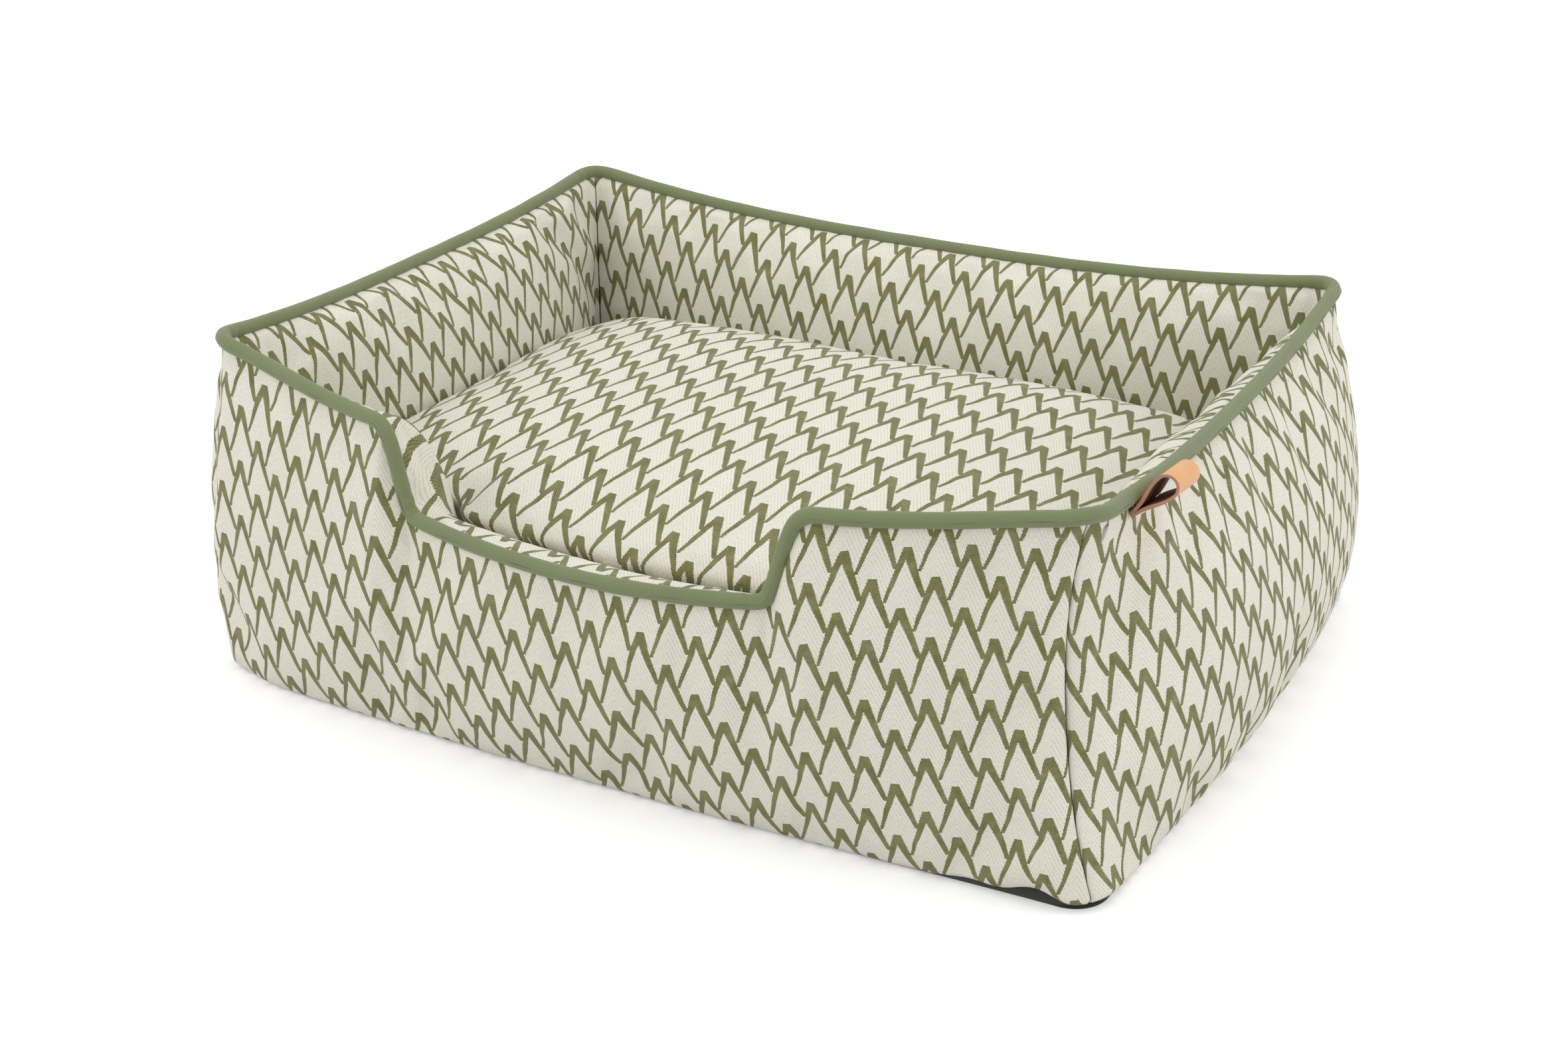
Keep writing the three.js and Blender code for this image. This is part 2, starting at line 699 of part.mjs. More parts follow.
const cushionBottom = floorHeight + floorThickness + clearance;
const cushionShares = [-1, -0.75, -0.5, -0.25, 0, 0.25, 0.5, 0.75, 1].map((k) => k * cushionCornerCut);
const cushionMiddle = new THREE.Vector2(0, (innerPoint(sides.back, 0).y + innerPoint(sides.front, 0).y) / 2);
const sideList = Object.values(sides);

// Height at which the cushion leaves the wall: lower in the corners, and below the entry's top
function contactHeight(side, s) {
  const wanted = mix(cushionCornerContact, cushionContact, 1 - Math.abs(s) ** 3);
  return Math.min(wanted, side.height(seamPoint(side, s).dot(side.along)) - 2 * pipingRadius);
}

// One point of the cushion's side, held off the wall by a gap and upright above its side seam
function besideWall(side, s, z, gap) {
  const curve = innerCurve(side, s);
  const t = shareAtHeight(curve, Math.min(z, cushionSeamHeight), 0.26, 1);
  return curve.getPoint(t).addScaledVector(faceNormal(innerCurve, side, s, t).setZ(0).normalize(), gap).setZ(z);
}

// A ring round the cushion; heightOf gives the height at each place, inset moves it off the wall
function cushionRing(heightOf, inset) {
  const gap = cushionGap + inset;
  return sideList.flatMap((side, k) => {
    const row = cushionShares.map((s) => besideWall(side, s, heightOf(side, s), gap));
    const next = sideList[(k + 1) % sideList.length];
    const start = besideWall(next, -cushionCornerCut, heightOf(next, -cushionCornerCut), gap);
    const corner = side.out.clone().add(next.out);
    const crease = innerPoint(side, 1).addScaledVector(corner, -gap).setZ(start.z);
    const control = row.at(-1).clone().lerp(start, 0.5).lerp(crease, 0.4);
    const bend = new THREE.QuadraticBezierCurve3(row.at(-1), control, start);
    return [...row, bend.getPoint(1 / 3), bend.getPoint(2 / 3)];
  });
}

function domeRing(edge, share, top) {
  return edge.map((p) => new THREE.Vector3(
    mix(cushionMiddle.x, p.x, share),
    mix(cushionMiddle.y, p.y, share),
    top - (top - p.z) * share ** 2.3,
  ));
}

const poleAt = (z) => new THREE.Vector3(cushionMiddle.x, cushionMiddle.y, z);

// Rings from the side seam up over the dome, with everything a depth inside the cushion's surface
function upperRings(seamHeight, depth) {
  const edge = cushionRing((side, s) => contactHeight(side, s) - depth, 6 + depth);
  return [
    cushionRing(() => seamHeight, depth),
    cushionRing((side, s) => 0.86 * contactHeight(side, s) - 0.5 * depth, 1 + depth),
    edge,
    ...[0.84, 0.6, 0.3].map((share) => domeRing(edge, share, cushionTop - depth)),
  ];
}

function lowerRings(seamHeight, depth) {
  return [
    cushionRing(() => seamHeight, depth),
    cushionRing(() => 0.5 * cushionSeamHeight, 2 + depth),
    cushionRing(() => cushionBottom + 10 + 0.7 * depth, 6 + depth),
    cushionRing(() => cushionBottom + depth, 17 + depth),
  ];
}

const cushionPocketPlane = cushionBottom + plateBase + sliderPlate + clearance;
const cushionZipY = innerPoint(sides.back, 0).y - cushionZipFromBack;
const cushionPocket = box(
  [0, cushionZipY, cushionPocketPlane + clearance - zipPocketDepth],
  [cushionZipLength + 4, zipPocketWidth, 2 * zipPocketDepth],
);

function cushionTopBody() {
  const seam = cushionSeamHeight + clearance / 2;
  const inside = upperRings(seam, cushionCloth).reverse();
  const rings = [...inside, ...upperRings(seam, 0)];
  return bodyOfRings(poleAt(cushionTop - cushionCloth), rings, poleAt(cushionTop), inside.length);
}

function cushionBottomBody() {
  const seam = cushionSeamHeight - clearance / 2;
  const inside = lowerRings(seam, cushionCloth).reverse();
  const rings = [...inside, ...lowerRings(seam, 0)];
  return bodyOfRings(poleAt(cushionBottom + cushionCloth), rings, poleAt(cushionBottom), inside.length);
}

function cushionInsertBody() {
  const depth = cushionCloth + 2 * clearance;
  const above = upperRings(cushionSeamHeight, depth).slice(1).reverse();
  const rings = [...above, ...lowerRings(cushionSeamHeight, depth)];
  return bodyOfRings(poleAt(cushionTop - depth), rings, poleAt(cushionBottom + depth), above.length + 1);
}

addPiece('cushion_cover_top', cushionTopBody(), wallCloth);
addPiece('cushion_cover_bottom', cutAway(cushionBottomBody(), cushionPocket), wallCloth);
addPiece('cushion_insert', cutAway(cushionInsertBody(), cushionPocket), fibre);

// ---- zips in place ----------------------------------------------------------------------------

function addZip(name, length, sliderX, place, withPull) {
  addPiece(`${name}_zip_upper_tape`, place(tapeBody(length, 1)), zipTape);
  addPiece(`${name}_zip_lower_tape`, place(tapeBody(length, -1)), zipTape);
  addPiece(`${name}_zip_coil`, place(coilBody(length - 2 * tapeWidth)), zipNylon);
  const slider = withPull ? joined([sliderBody(), ...earsAndPin()]) : sliderBody();
  addPiece(`${name}_zip_slider`, place(slider.translate(sliderX, 0, 0)), zipMetal);
  if (withPull) addPiece(`${name}_zip_pull`, place(hungOnPin(pullBody()).translate(sliderX, 0, 0)), zipMetal);
}

const sliderEnd = (length) => length / 2 - 2 * tapeWidth - sliderLength;
addZip('shell', shellZipLength, sliderEnd(shellZipLength), (g) => g.translate(0, shellZipPlane, shellZipHeight), true);
addZip(
  'cushion',
  cushionZipLength,
  sliderEnd(cushionZipLength),
  (g) => g.rotateX(-Math.PI / 2).translate(0, cushionZipY, cushionPocketPlane),
  false,
);

// ---- leather loop -----------------------------------------------------------------------------

// A strap folded on itself: two layers sewn together at the seam, opening into a drop
function loopBody() {
  const roundAt = loopLength - loopHalfHeight;
  const drop = (halfStart, start, half) => {
    const outline = new THREE.Path();
    outline.moveTo(start, -halfStart);
    outline.bezierCurveTo(mix(start, roundAt, 0.4), -halfStart, mix(start, roundAt, 0.6), -half, roundAt, -half);
    outline.absarc(roundAt, 0, half, -Math.PI / 2, Math.PI / 2);
    outline.bezierCurveTo(mix(start, roundAt, 0.6), half, mix(start, roundAt, 0.4), halfStart, start, halfStart);
    return outline;
  };
  const shape = new THREE.Shape(drop(loopLeather, 0, loopHalfHeight).getPoints(8));
  shape.holes.push(new THREE.Path(drop(0.1, 4 * loopLeather, loopHalfHeight - loopLeather).getPoints(8)));
  const strap = new THREE.ExtrudeGeometry(shape, { depth: loopWidth, bevelEnabled: false });
  return strap.translate(0, 0, -loopWidth / 2);
}

// The loop stands on the outer face just below the seam, with its fold line along the ridge
function placedLoop() {
  const side = sides.right;
  const run = ridgeHalfDepth - ridgeCornerRadius;
  const s = (-(ridgeHalfDepth - loopFromFront) / run) * straightShare;
  const curve = outerCurve(side, s);
  const t = shareFromSeam(curve, 1, loopBelowSeam);
  const faceOut = faceNormal(outerCurve, side, s, t);
  const ridgeRun = seamPoint(side, s + 0.01).sub(seamPoint(side, s - 0.01)).normalize();
  const level = side.out.clone();
  const rising = level.clone().cross(ridgeRun).normalize();
  const tilt = THREE.MathUtils.degToRad(loopTilt);
  const lengthwise = level.multiplyScalar(Math.cos(tilt)).addScaledVector(rising, Math.sin(tilt));
  const across = ridgeRun.clone().cross(lengthwise);
  const standOff = loopLeather * Math.abs(across.dot(faceOut)) + clearance;
  const root = curve.getPoint(t).addScaledVector(faceOut, standOff);
  const frame = new THREE.Matrix4().makeBasis(lengthwise, across, ridgeRun).setPosition(root);
  return loopBody().applyMatrix4(frame);
}

addPiece('leather_loop', placedLoop(), tanLeather);

// ---- origin -----------------------------------------------------------------------------------

// The origin is under the middle of the finished outline
const extent = new THREE.Box3().setFromObject(bed);
bed.position.set(-(extent.min.x + extent.max.x) / 2, -(extent.min.y + extent.max.y) / 2, 0);

export default bed;
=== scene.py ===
import bmesh
import bpy
import mathutils
import numpy as np
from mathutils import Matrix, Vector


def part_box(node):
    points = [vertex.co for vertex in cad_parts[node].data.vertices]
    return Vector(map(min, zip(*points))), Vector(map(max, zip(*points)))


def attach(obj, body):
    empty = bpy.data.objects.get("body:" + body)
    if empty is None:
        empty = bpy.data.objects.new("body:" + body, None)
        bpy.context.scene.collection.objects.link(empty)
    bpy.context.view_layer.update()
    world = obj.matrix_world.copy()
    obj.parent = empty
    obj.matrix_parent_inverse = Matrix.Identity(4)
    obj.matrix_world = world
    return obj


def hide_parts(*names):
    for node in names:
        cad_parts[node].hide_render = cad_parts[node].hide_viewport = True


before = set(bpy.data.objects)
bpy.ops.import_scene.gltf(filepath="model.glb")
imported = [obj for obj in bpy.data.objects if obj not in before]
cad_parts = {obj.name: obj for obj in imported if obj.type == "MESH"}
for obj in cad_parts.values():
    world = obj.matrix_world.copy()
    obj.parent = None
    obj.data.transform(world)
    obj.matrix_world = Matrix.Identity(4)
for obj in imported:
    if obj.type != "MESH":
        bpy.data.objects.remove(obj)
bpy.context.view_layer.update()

# ---- bottom panel -----------------------------------------------------------------------------
# The dark underside is one piece of coarse twill, cut to the outline of the base and turned up
# all round, where the walls are sewn to it. It shows where the hem of a wall lifts off it.

SETBACK = 0.01094  # how far back of the frame's middle the bed's middle lies
CORNER = 0.94  # the share of a side's half at which it begins to turn its corner
HEM = 0.0084
CLOTH = 0.0012
BASE_CORNER = 0.032
BASE_LEVEL = 0.0004
FULL_TURN = 6.2832
WIDE, DEEP = (0.354, 0.381), (0.265, 0.288)  # half the bed at its ridge and at its base


def mix(a, b, t):
    return a + (b - a) * t


def smooth(x, low, high):
    t = np.clip((x - low) / (high - low), 0, 1)
    return t * t * (3 - 2 * t)


class Side:
    """One side of the bed, facing out. Its places s run counter-clockwise from -1 to 1."""

    def __init__(self, name, out, run, reach, ridge_bow, base_bow):
        self.name = name
        self.out = np.array(out, float)
        self.along = np.array([-out[1], out[0]], float)
        self.run = {"ridge": run[0], "base": run[1]}
        self.reach = {"ridge": reach[0], "base": reach[1]}
        self.bow = {"ridge": ridge_bow, "base": base_bow}

    def turn(self, s):
        return np.sign(s) * np.maximum(0, np.abs(s) - CORNER) / (1 - CORNER) * np.pi / 4

    def outward(self, s):
        turn = self.turn(s)[..., None]
        flat = np.cos(turn) * self.out + np.sin(turn) * self.along
        return np.concatenate([flat, np.zeros_like(turn)], -1)

    def spot(self, along, out, z):
        flat = along[..., None] * self.along + out[..., None] * self.out
        return np.stack([flat[..., 0], flat[..., 1] + SETBACK, z + 0 * along], -1)

    def outline(self, which, s, radius):
        share = np.clip(s / CORNER, -1, 1)
        turn = self.turn(s)
        bow = self.bow[which] * (1 - share**2) ** 1.5
        along = (self.run[which] - radius) * share + radius * np.sin(turn)
        return along, self.reach[which] - radius + radius * np.cos(turn) + bow

    def base(self, s, inset, z):
        """The foot of the wall, which is drawn in at the front left corner."""
        along, out = self.outline("base", s, BASE_CORNER)
        near = {"front": 1 + s, "left": 1 - s}.get(self.name, 2 + 0 * s)
        drawn_in = inset + 0.015 * np.exp(-((near / 0.13) ** 2))
        return self.spot(along, out, z) - self.outward(s) * drawn_in[..., None]


SIDES = {
    "front": Side("front", (0, -1), WIDE, DEEP, 0.047, 0.009),
    "right": Side("right", (1, 0), DEEP, WIDE, 0.0025, 0.009),
    "back": Side("back", (0, 1), WIDE, DEEP, 0, 0),
    "left": Side("left", (-1, 0), DEEP, WIDE, 0.0025, 0.009),
}


def places(step, length):
    """Even places along a side, and closer ones where it turns the corner."""
    flat = np.linspace(-CORNER, CORNER, int(round(length / step)))
    turn = np.linspace(CORNER, 1, 8)[1:]
    return np.concatenate([-turn[::-1], flat, turn])


def all_round(place, step=0.012):
    """Rows of points round the whole bed, side by side, with the first row again at the end."""
    rows = [place(side, places(step, 2 * side.run["base"])[:-1]) for side in SIDES.values()]
    rows = np.concatenate(rows)
    return np.concatenate([rows, rows[:1]])


def grid_through(points, flat=None):
    """Quads through rows of points, with the metres of the flat cloth as their UV map."""
    span = np.array(points.shape[:2]) - 1
    made = bmesh.new()
    bmesh.ops.create_grid(made, x_segments=span[0], y_segments=span[1], size=0.5)
    spots = {v: tuple(np.round((np.array(v.co.xy) + 0.5) * span).astype(int)) for v in made.verts}
    if flat is not None:
        weave = made.loops.layers.uv.new("cloth")
        for face in made.faces:
            for loop in face.loops:
                loop[weave].uv = flat[spots[loop.vert]]
    for vert, spot in spots.items():
        vert.co = points[spot]
    return made


def sheet_of(name, points, flat, inner, opening=None):
    """A sheet through rows of points that faces away from the inner point. opening is a box, by
    two corners, where it is cut out."""
    sheet = grid_through(points, flat)
    bmesh.ops.remove_doubles(sheet, verts=sheet.verts, dist=2e-6)
    if opening:
        cut_out(sheet, *map(np.array, opening))
    sheet.normal_update()
    inner = np.array(inner, float)
    facing = 0
    for face in sheet.faces:
        facing += np.dot(face.normal, np.array(face.calc_center_median()) - inner) * face.calc_area()
    if facing < 0:
        bmesh.ops.reverse_faces(sheet, faces=sheet.faces)
    return piece(name, sheet)


def cut_out(sheet, low, high):
    """Cuts the sheet along the sides of a box and removes what is inside."""
    middle, half = (low + high) / 2, (high - low) / 2

    def within(face, margin):
        return np.all(np.abs(np.array(face.calc_center_median()) - middle) < half + margin)

    for axis in range(3):
        for place in (low, high):
            near = [f for f in sheet.faces if within(f, 0.02)]
            parts = near + list({e for f in near for e in f.edges})
            parts += list({v for f in near for v in f.verts})
            bmesh.ops.bisect_plane(sheet, geom=parts, dist=1e-6, plane_co=place, plane_no=np.eye(3)[axis])
    gone = [f for f in sheet.faces if within(f, 0)]
    bmesh.ops.delete(sheet, geom=gone, context="FACES")


def piece(name, made):
    mesh = bpy.data.meshes.new(name)
    made.to_mesh(mesh)
    made.free()
    for polygon in mesh.polygons:
        polygon.use_smooth = True
    obj = bpy.data.objects.new(name, mesh)
    bpy.context.scene.collection.objects.link(obj)
    return obj


def finish_cloth(obj, thickness=CLOTH, levels=1):
    """The cloth's thickness behind its face, then a finer mesh."""
    shell = obj.modifiers.new("thickness", "SOLIDIFY")
    shell.thickness = thickness
    shell.offset = -1
    if levels:
        finer = obj.modifiers.new("finer", "SUBSURF")
        finer.levels = levels
        finer.render_levels = levels


def puffed(obj, pressure, slack, cap, loose=0.02):
    """Blows the sheet out as stuffing does, and lets no point move further than cap. Its threads
    are longer than the shape by slack. It is held at its edges and free from loose inward."""
    mesh = obj.data
    start = np.array([v.co for v in mesh.vertices])
    rims = bmesh.new()
    rims.from_mesh(mesh)
    rim = np.array([v.is_boundary for v in rims.verts])
    rims.free()
    rim_spots = start[rim]
    away = np.array([np.min(((rim_spots - spot) ** 2).sum(1)) for spot in start]) ** 0.5
    freedom = smooth(away, 0.0, loose)
    held = obj.vertex_groups.new(name="held")
    for index, share in enumerate(freedom):
        weight = float(1 - 0.999 * min(1, share * 4)) if share < 0.25 else 0.0
        held.add([index], weight, "REPLACE")
    cloth = obj.modifiers.new("stuffed", "CLOTH")
    cloth.settings.vertex_group_mass = "held"
    cloth.settings.use_pressure = True
    cloth.settings.uniform_pressure_force = pressure
    cloth.settings.effector_weights.gravity = 0
    cloth.settings.shrink_min = -slack
    cloth.settings.quality = 5
    cloth.settings.tension_stiffness = 30
    cloth.settings.compression_stiffness = 20
    cloth.settings.bending_stiffness = 2
    cloth.settings.air_damping = 4
    cloth.collision_settings.use_collision = False
    for step in range(1, 21):
        bpy.context.scene.frame_set(step)
    solved = obj.evaluated_get(bpy.context.evaluated_depsgraph_get())
    moved = np.array([v.co for v in solved.data.vertices]) - start
    obj.modifiers.remove(cloth)
    obj.vertex_groups.remove(held)
    bpy.context.scene.frame_set(1)
    length = np.linalg.norm(moved, axis=1)
    share = np.minimum(1, cap / np.maximum(length, 1e-9)) * freedom
    for vert, spot in zip(mesh.vertices, start + moved * share[:, None]):
        vert.co = spot


def fit(obj, body, replaced):
    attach(obj, body)
    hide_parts(replaced)


def tone(red, green, blue):
    """A colour by its 0 to 255 values, as Blender's linear one."""
    values = np.array((red, green, blue)) / 255
    return (*np.where(values > 0.04045, ((values + 0.055) / 1.055) ** 2.4, values / 12.92), 1)


def put(tree, kind, **inputs):
    """A node with some of its inputs set or linked, by their names."""
    node = tree.nodes.new(kind)
    for name, value in inputs.items():
        wire(tree, node.inputs[name.replace("_", " ")], value)
    return node


def wire(tree, socket, value):
    if isinstance(value, bpy.types.NodeSocket):
        tree.links.new(value, socket)
    else:
        socket.default_value = value


def reckon(tree, operation, *terms):
    node = tree.nodes.new("ShaderNodeMath")
    node.operation = operation
    for socket, term in zip(node.inputs, terms):
        wire(tree, socket, term)
    return node.outputs[0]


def blended(tree, share, first, second):
    node = tree.nodes.new("ShaderNodeMix")
    node.data_type = "RGBA"
    wire(tree, node.inputs["Factor"], share)
    wire(tree, node.inputs["A"], first)
    wire(tree, node.inputs["B"], second)
    return node.outputs["Result"]


def new_group(name, takes, gives):
    tree = bpy.data.node_groups.new(name, "ShaderNodeTree")
    for label, (kind, value) in takes.items():
        socket = tree.interface.new_socket(label, in_out="INPUT", socket_type=f"NodeSocket{kind}")
        if value is not None:
            socket.default_value = value
    for label, kind in gives.items():
        tree.interface.new_socket(label, in_out="OUTPUT", socket_type=f"NodeSocket{kind}")
    return tree, tree.nodes.new("NodeGroupInput").outputs, tree.nodes.new("NodeGroupOutput").inputs


def placed_group(tree, group, **inputs):
    node = tree.nodes.new("ShaderNodeGroup")
    node.node_tree = group
    for name, value in inputs.items():
        wire(tree, node.inputs[name.replace("_", " ")], value)
    return node.outputs


def new_material(name):
    material = bpy.data.materials.new(name)
    material.use_nodes = True
    return material, material.node_tree, material.node_tree.nodes["Principled BSDF"]


def cloth_map(tree):
    node = put(tree, "ShaderNodeUVMap")
    node.uv_map = "cloth"
    return node.outputs[0]


def raise_surface(tree, skin, strength, distance, height):
    bump = put(tree, "ShaderNodeBump", Strength=strength, Distance=distance, Height=height)
    wire(tree, skin.inputs["Normal"], bump.outputs[0])


def twill_group():
    """Slanting ribs of a twill or a plain canvas: how high the thread lies, and its uneven tone."""
    tree, takes, gives = new_group(
        "twill ribs",
        {"Cloth": ("Vector", None), "Thread": ("Float", 0.0008), "Slant": ("Float", 1.0)},
        {"Height": "Float", "Tone": "Float"},
    )
    flat = put(tree, "ShaderNodeSeparateXYZ", Vector=takes["Cloth"]).outputs
    count = reckon(tree, "DIVIDE", FULL_TURN, takes["Thread"])
    across = reckon(tree, "MULTIPLY", flat[0], count)
    up = reckon(tree, "MULTIPLY", flat[1], count)
    slanted = reckon(tree, "MULTIPLY_ADD", across, takes["Slant"], up)
    rib = reckon(tree, "MULTIPLY_ADD", reckon(tree, "SINE", slanted), 0.5, 0.5)
    cross = reckon(tree, "SINE", reckon(tree, "MULTIPLY", across, 2))
    cross = reckon(tree, "MULTIPLY_ADD", cross, 0.5, 0.5)
    fibre = put(tree, "ShaderNodeTexNoise", Vector=takes["Cloth"], Scale=900.0, Detail=2.0).outputs[0]
    broad = put(tree, "ShaderNodeTexNoise", Vector=takes["Cloth"], Scale=22.0, Detail=3.0).outputs[0]
    height = reckon(tree, "MULTIPLY_ADD", cross, 0.3, reckon(tree, "MULTIPLY", rib, 0.6))
    wire(tree, gives["Height"], reckon(tree, "MULTIPLY_ADD", fibre, 0.35, height))
    uneven = reckon(tree, "MULTIPLY_ADD", broad, 0.5, reckon(tree, "MULTIPLY", fibre, 0.5))
    uneven = reckon(tree, "MULTIPLY", uneven, 0.75)
    wire(tree, gives["Tone"], reckon(tree, "MULTIPLY_ADD", rib, 0.25, uneven))
    return tree


TWILL = twill_group()


def woven_material(name, dark, light, thread, slant, roughness, sheen, depth):
    """A plain coloured cloth: ribs of two tones of one colour, soft and matt."""
    material, tree, skin = new_material(name)
    ribs = placed_group(tree, TWILL, Cloth=cloth_map(tree), Thread=thread, Slant=slant)
    wire(tree, skin.inputs["Base Color"], blended(tree, ribs["Tone"], dark, light))
    skin.inputs["Roughness"].default_value = roughness
    skin.inputs["Specular IOR Level"].default_value = 0.25
    skin.inputs["Sheen Weight"].default_value = sheen
    skin.inputs["Sheen Roughness"].default_value = 0.5
    raise_surface(tree, skin, 0.5, depth, ribs["Height"])
    return material


def base_ring(side, s):
    """The bottom panel from its middle out to its edge, then up behind the hem of the wall."""
    rim = side.base(s, 0.006, BASE_LEVEL)
    middle = np.zeros_like(rim) + (0, SETBACK, BASE_LEVEL)
    level = [mix(middle, rim, share) for share in (0, 0.25, 0.5, 0.75, 0.92, 1)]
    insets = (0.0055, 0.0044, 0.0038, 0.0040, 0.0056, 0.0076)
    heights = (0.0012, 0.0034, 0.0066, 0.011, 0.016, 0.020)
    corner = 0.0035 * np.exp(-(((1 - np.abs(s)) / 0.05) ** 2))
    turned_up = [side.base(s, inset + corner, z) for inset, z in zip(insets, heights)]
    return np.stack(level + turned_up, 1)


def plan_flat(points):
    """UV metres of a panel that lies flat but for an edge that is turned up."""
    return points[..., :2] + points[..., 2:] * np.sign(points[..., :2])


bottom = all_round(base_ring, 0.006)
base_panel = sheet_of("base_panel_cloth", bottom, plan_flat(bottom), (0, 0, 0.3))
base_panel.data.materials.append(
    woven_material("charcoal_twill", tone(38, 38, 34), tone(70, 69, 62), 0.0011, 1.0, 0.9, 0.15, 0.0004)
)
finish_cloth(base_panel, levels=0)
fit(base_panel, "shell", "base_panel")

# ---- inside floor -----------------------------------------------------------------------------
# A plain lining, one piece of thin pale cloth, closes the bed under the cushion. It is laid on
# the bottom panel and sewn to the feet of the inner walls.

FLOOR_LEVEL = 0.0034
LINING = 0.0008
WALL_THICKNESS = 0.098
PINCHED = 0.046  # how far in from the base the inner wall stands at a corner


def inner_plan(side, s):
    """Foot of the inner wall: the wall is thick in its middle and pinched at its corners."""
    corner = side.reach["base"] - PINCHED
    middle = side.reach["base"] + side.bow["base"] + 0.0063 - WALL_THICKNESS
    out = corner - (corner - middle) * (1 - np.minimum(1, np.abs(s)) ** 1.8)
    return (side.run["base"] - PINCHED) * s, out


def floor_ring(side, s):
    along, out = inner_plan(side, s)
    edge = side.spot(along, out, FLOOR_LEVEL) - side.outward(s) * 0.003
    middle = np.zeros_like(edge) + (0, SETBACK, FLOOR_LEVEL)
    shares = (0, 0.2, 0.4, 0.6, 0.8, 0.93, 1)
    return np.stack([mix(middle, edge, share) for share in shares], 1)


lining = all_round(floor_ring)
floor_panel = sheet_of("floor_panel_cloth", lining, plan_flat(lining), (0, 0, -0.3))
floor_panel.data.materials.append(
    woven_material(
        "lining_cloth", tone(205, 199, 184), tone(226, 221, 208), 0.0006, 0.0, 0.95, 0.1, 0.0002
    )
)
finish_cloth(floor_panel, LINING, levels=0)
fit(floor_panel, "shell", "floor_panel")

# ---- stuffing of the walls --------------------------------------------------------------------
# Each wall is filled with loose polyester fibre, packed to the shape of its cloth, which runs
# from the hem over the ridge seam and down to the foot of the inner wall.

PEAK = 0.272  # the ridge seam at a corner
ENTRY_HALF = 0.152
RIDGE_CORNER = 0.022
UP = np.array((0, 0, 1.0))
PLUMP = {"front": 0.004, "right": 0.022, "back": 0.010, "left": 0.012}


def sagged(share, sag):
    return PEAK - sag * (1 - np.minimum(1, np.abs(share)) ** 2.6)


def ridge_height(side, along):
    """The ridge peaks at the corners and sags between them; in front it steps down to the entry."""
    if side.name == "back":
        return sagged(along / WIDE[0], 0.023)
    if side.name != "front":
        return sagged(along / DEEP[0], 0.015)
    wider_left = 0.011 * smooth(-along, 0, 0.1) * (1 - smooth(-along, 0.2, 0.34))
    x = np.abs(along) - wider_left
    outward = np.clip((x - ENTRY_HALF) / (WIDE[0] - ENTRY_HALF), 0, 1)
    shoulder = PEAK - 0.024 * np.cos(outward * np.pi / 2)
    entry = 0.172 + 0.010 * np.minimum(1, x / ENTRY_HALF) ** 2
    return mix(entry, shoulder, smooth(x, ENTRY_HALF - 0.013, ENTRY_HALF + 0.015))


def seam_line(side, s):
    along, out = side.outline("ridge", s, RIDGE_CORNER)
    return side.spot(along, out, ridge_height(side, along))


def along_curve(points, t):
    """Points at the shares t of a curve with four control points, for each place along a side."""
    a, b, c, d = (p[:, None] for p in points)
    t = t[None, :, None] if t.ndim == 1 else t[..., None]
    u = 1 - t
    return a * u**3 + 3 * b * u**2 * t + 3 * c * u * t**2 + d * t**3


def slack_corner(side, s):
    """The seam of the front right corner wanders in from the corner where the cloth is slack."""
    near = {"front": 1 - s, "right": 1 + s}.get(side.name)
    if near is None:
        return np.zeros((len(s), 3))
    reach = 0.30 if side.name == "front" else 0.42
    return np.exp(-((near / reach) ** 2))[:, None] * np.array((-0.030, 0.012, 0))


def outer_curve(side, s):
    """Four control points of the outer face at each place, from its hem up to the ridge seam."""
    seam = seam_line(side, s)
    hem = side.base(s, 0, HEM)
    outward = side.outward(s)
    middle = (1 - np.minimum(1, np.abs(s)) ** 3)[:, None]
    plump = PLUMP[side.name] * (1 - np.minimum(1, np.abs(s)) ** 4)[:, None]
    rise = (seam - hem)[:, 2:]
    tall = (rise / (PEAK - HEM)) ** 2
    low = 0.014 * (0.75 + 0.25 * middle) + plump
    high = (mix(0.014, 0.034, middle) + plump) * tall
    slack = slack_corner(side, s)
    lower = hem + outward * low + UP * 0.28 * rise + slack
    return hem, lower, seam + outward * high - UP * 0.33 * rise + slack, seam


def inner_curve(side, s):
    """Four control points of the inner face at each place, from the ridge seam down to its foot."""
    seam = seam_line(side, s)
    foot = side.spot(*inner_plan(side, s), 0.0029)
    middle = (1 - np.minimum(1, np.abs(s)) ** 3)[:, None]
    lowness = (PEAK - seam[:, 2:]) / 0.112
    crown = middle * mix(0.009, 0.017, lowness)
    top = seam - side.outward(s) * mix(0.010, 0.036, middle) + UP * crown
    bottom = foot * (1, 1, 0) + UP * 0.86 * seam[:, 2:]
    return seam, top, bottom, foot


def slopes(points):
    """Unit normals of a grid of points, by its rows and columns."""
    across = np.cross(np.gradient(points, axis=0), np.gradient(points, axis=1))
    return across / np.maximum(np.linalg.norm(across, axis=-1, keepdims=True), 1e-12)


def fibre_material():
    material, tree, skin = new_material("polyester_fibre")
    spot = put(tree, "ShaderNodeTexCoord").outputs["Object"]
    strands = put(tree, "ShaderNodeTexNoise", Vector=spot, Scale=240.0, Detail=6.0, Distortion=2.5)
    strands = strands.outputs[0]
    clumps = put(tree, "ShaderNodeTexNoise", Vector=spot, Scale=28.0, Detail=3.0).outputs[0]
    both = reckon(tree, "MULTIPLY_ADD", clumps, 0.5, reckon(tree, "MULTIPLY", strands, 0.5))
    wire(tree, skin.inputs["Base Color"], blended(tree, both, tone(214, 211, 203), tone(246, 244, 240)))
    skin.inputs["Roughness"].default_value = 1
    skin.inputs["Sheen Weight"].default_value = 0.4
    raise_surface(tree, skin, 0.7, 0.002, both)
    return material


FIBRE = fibre_material()


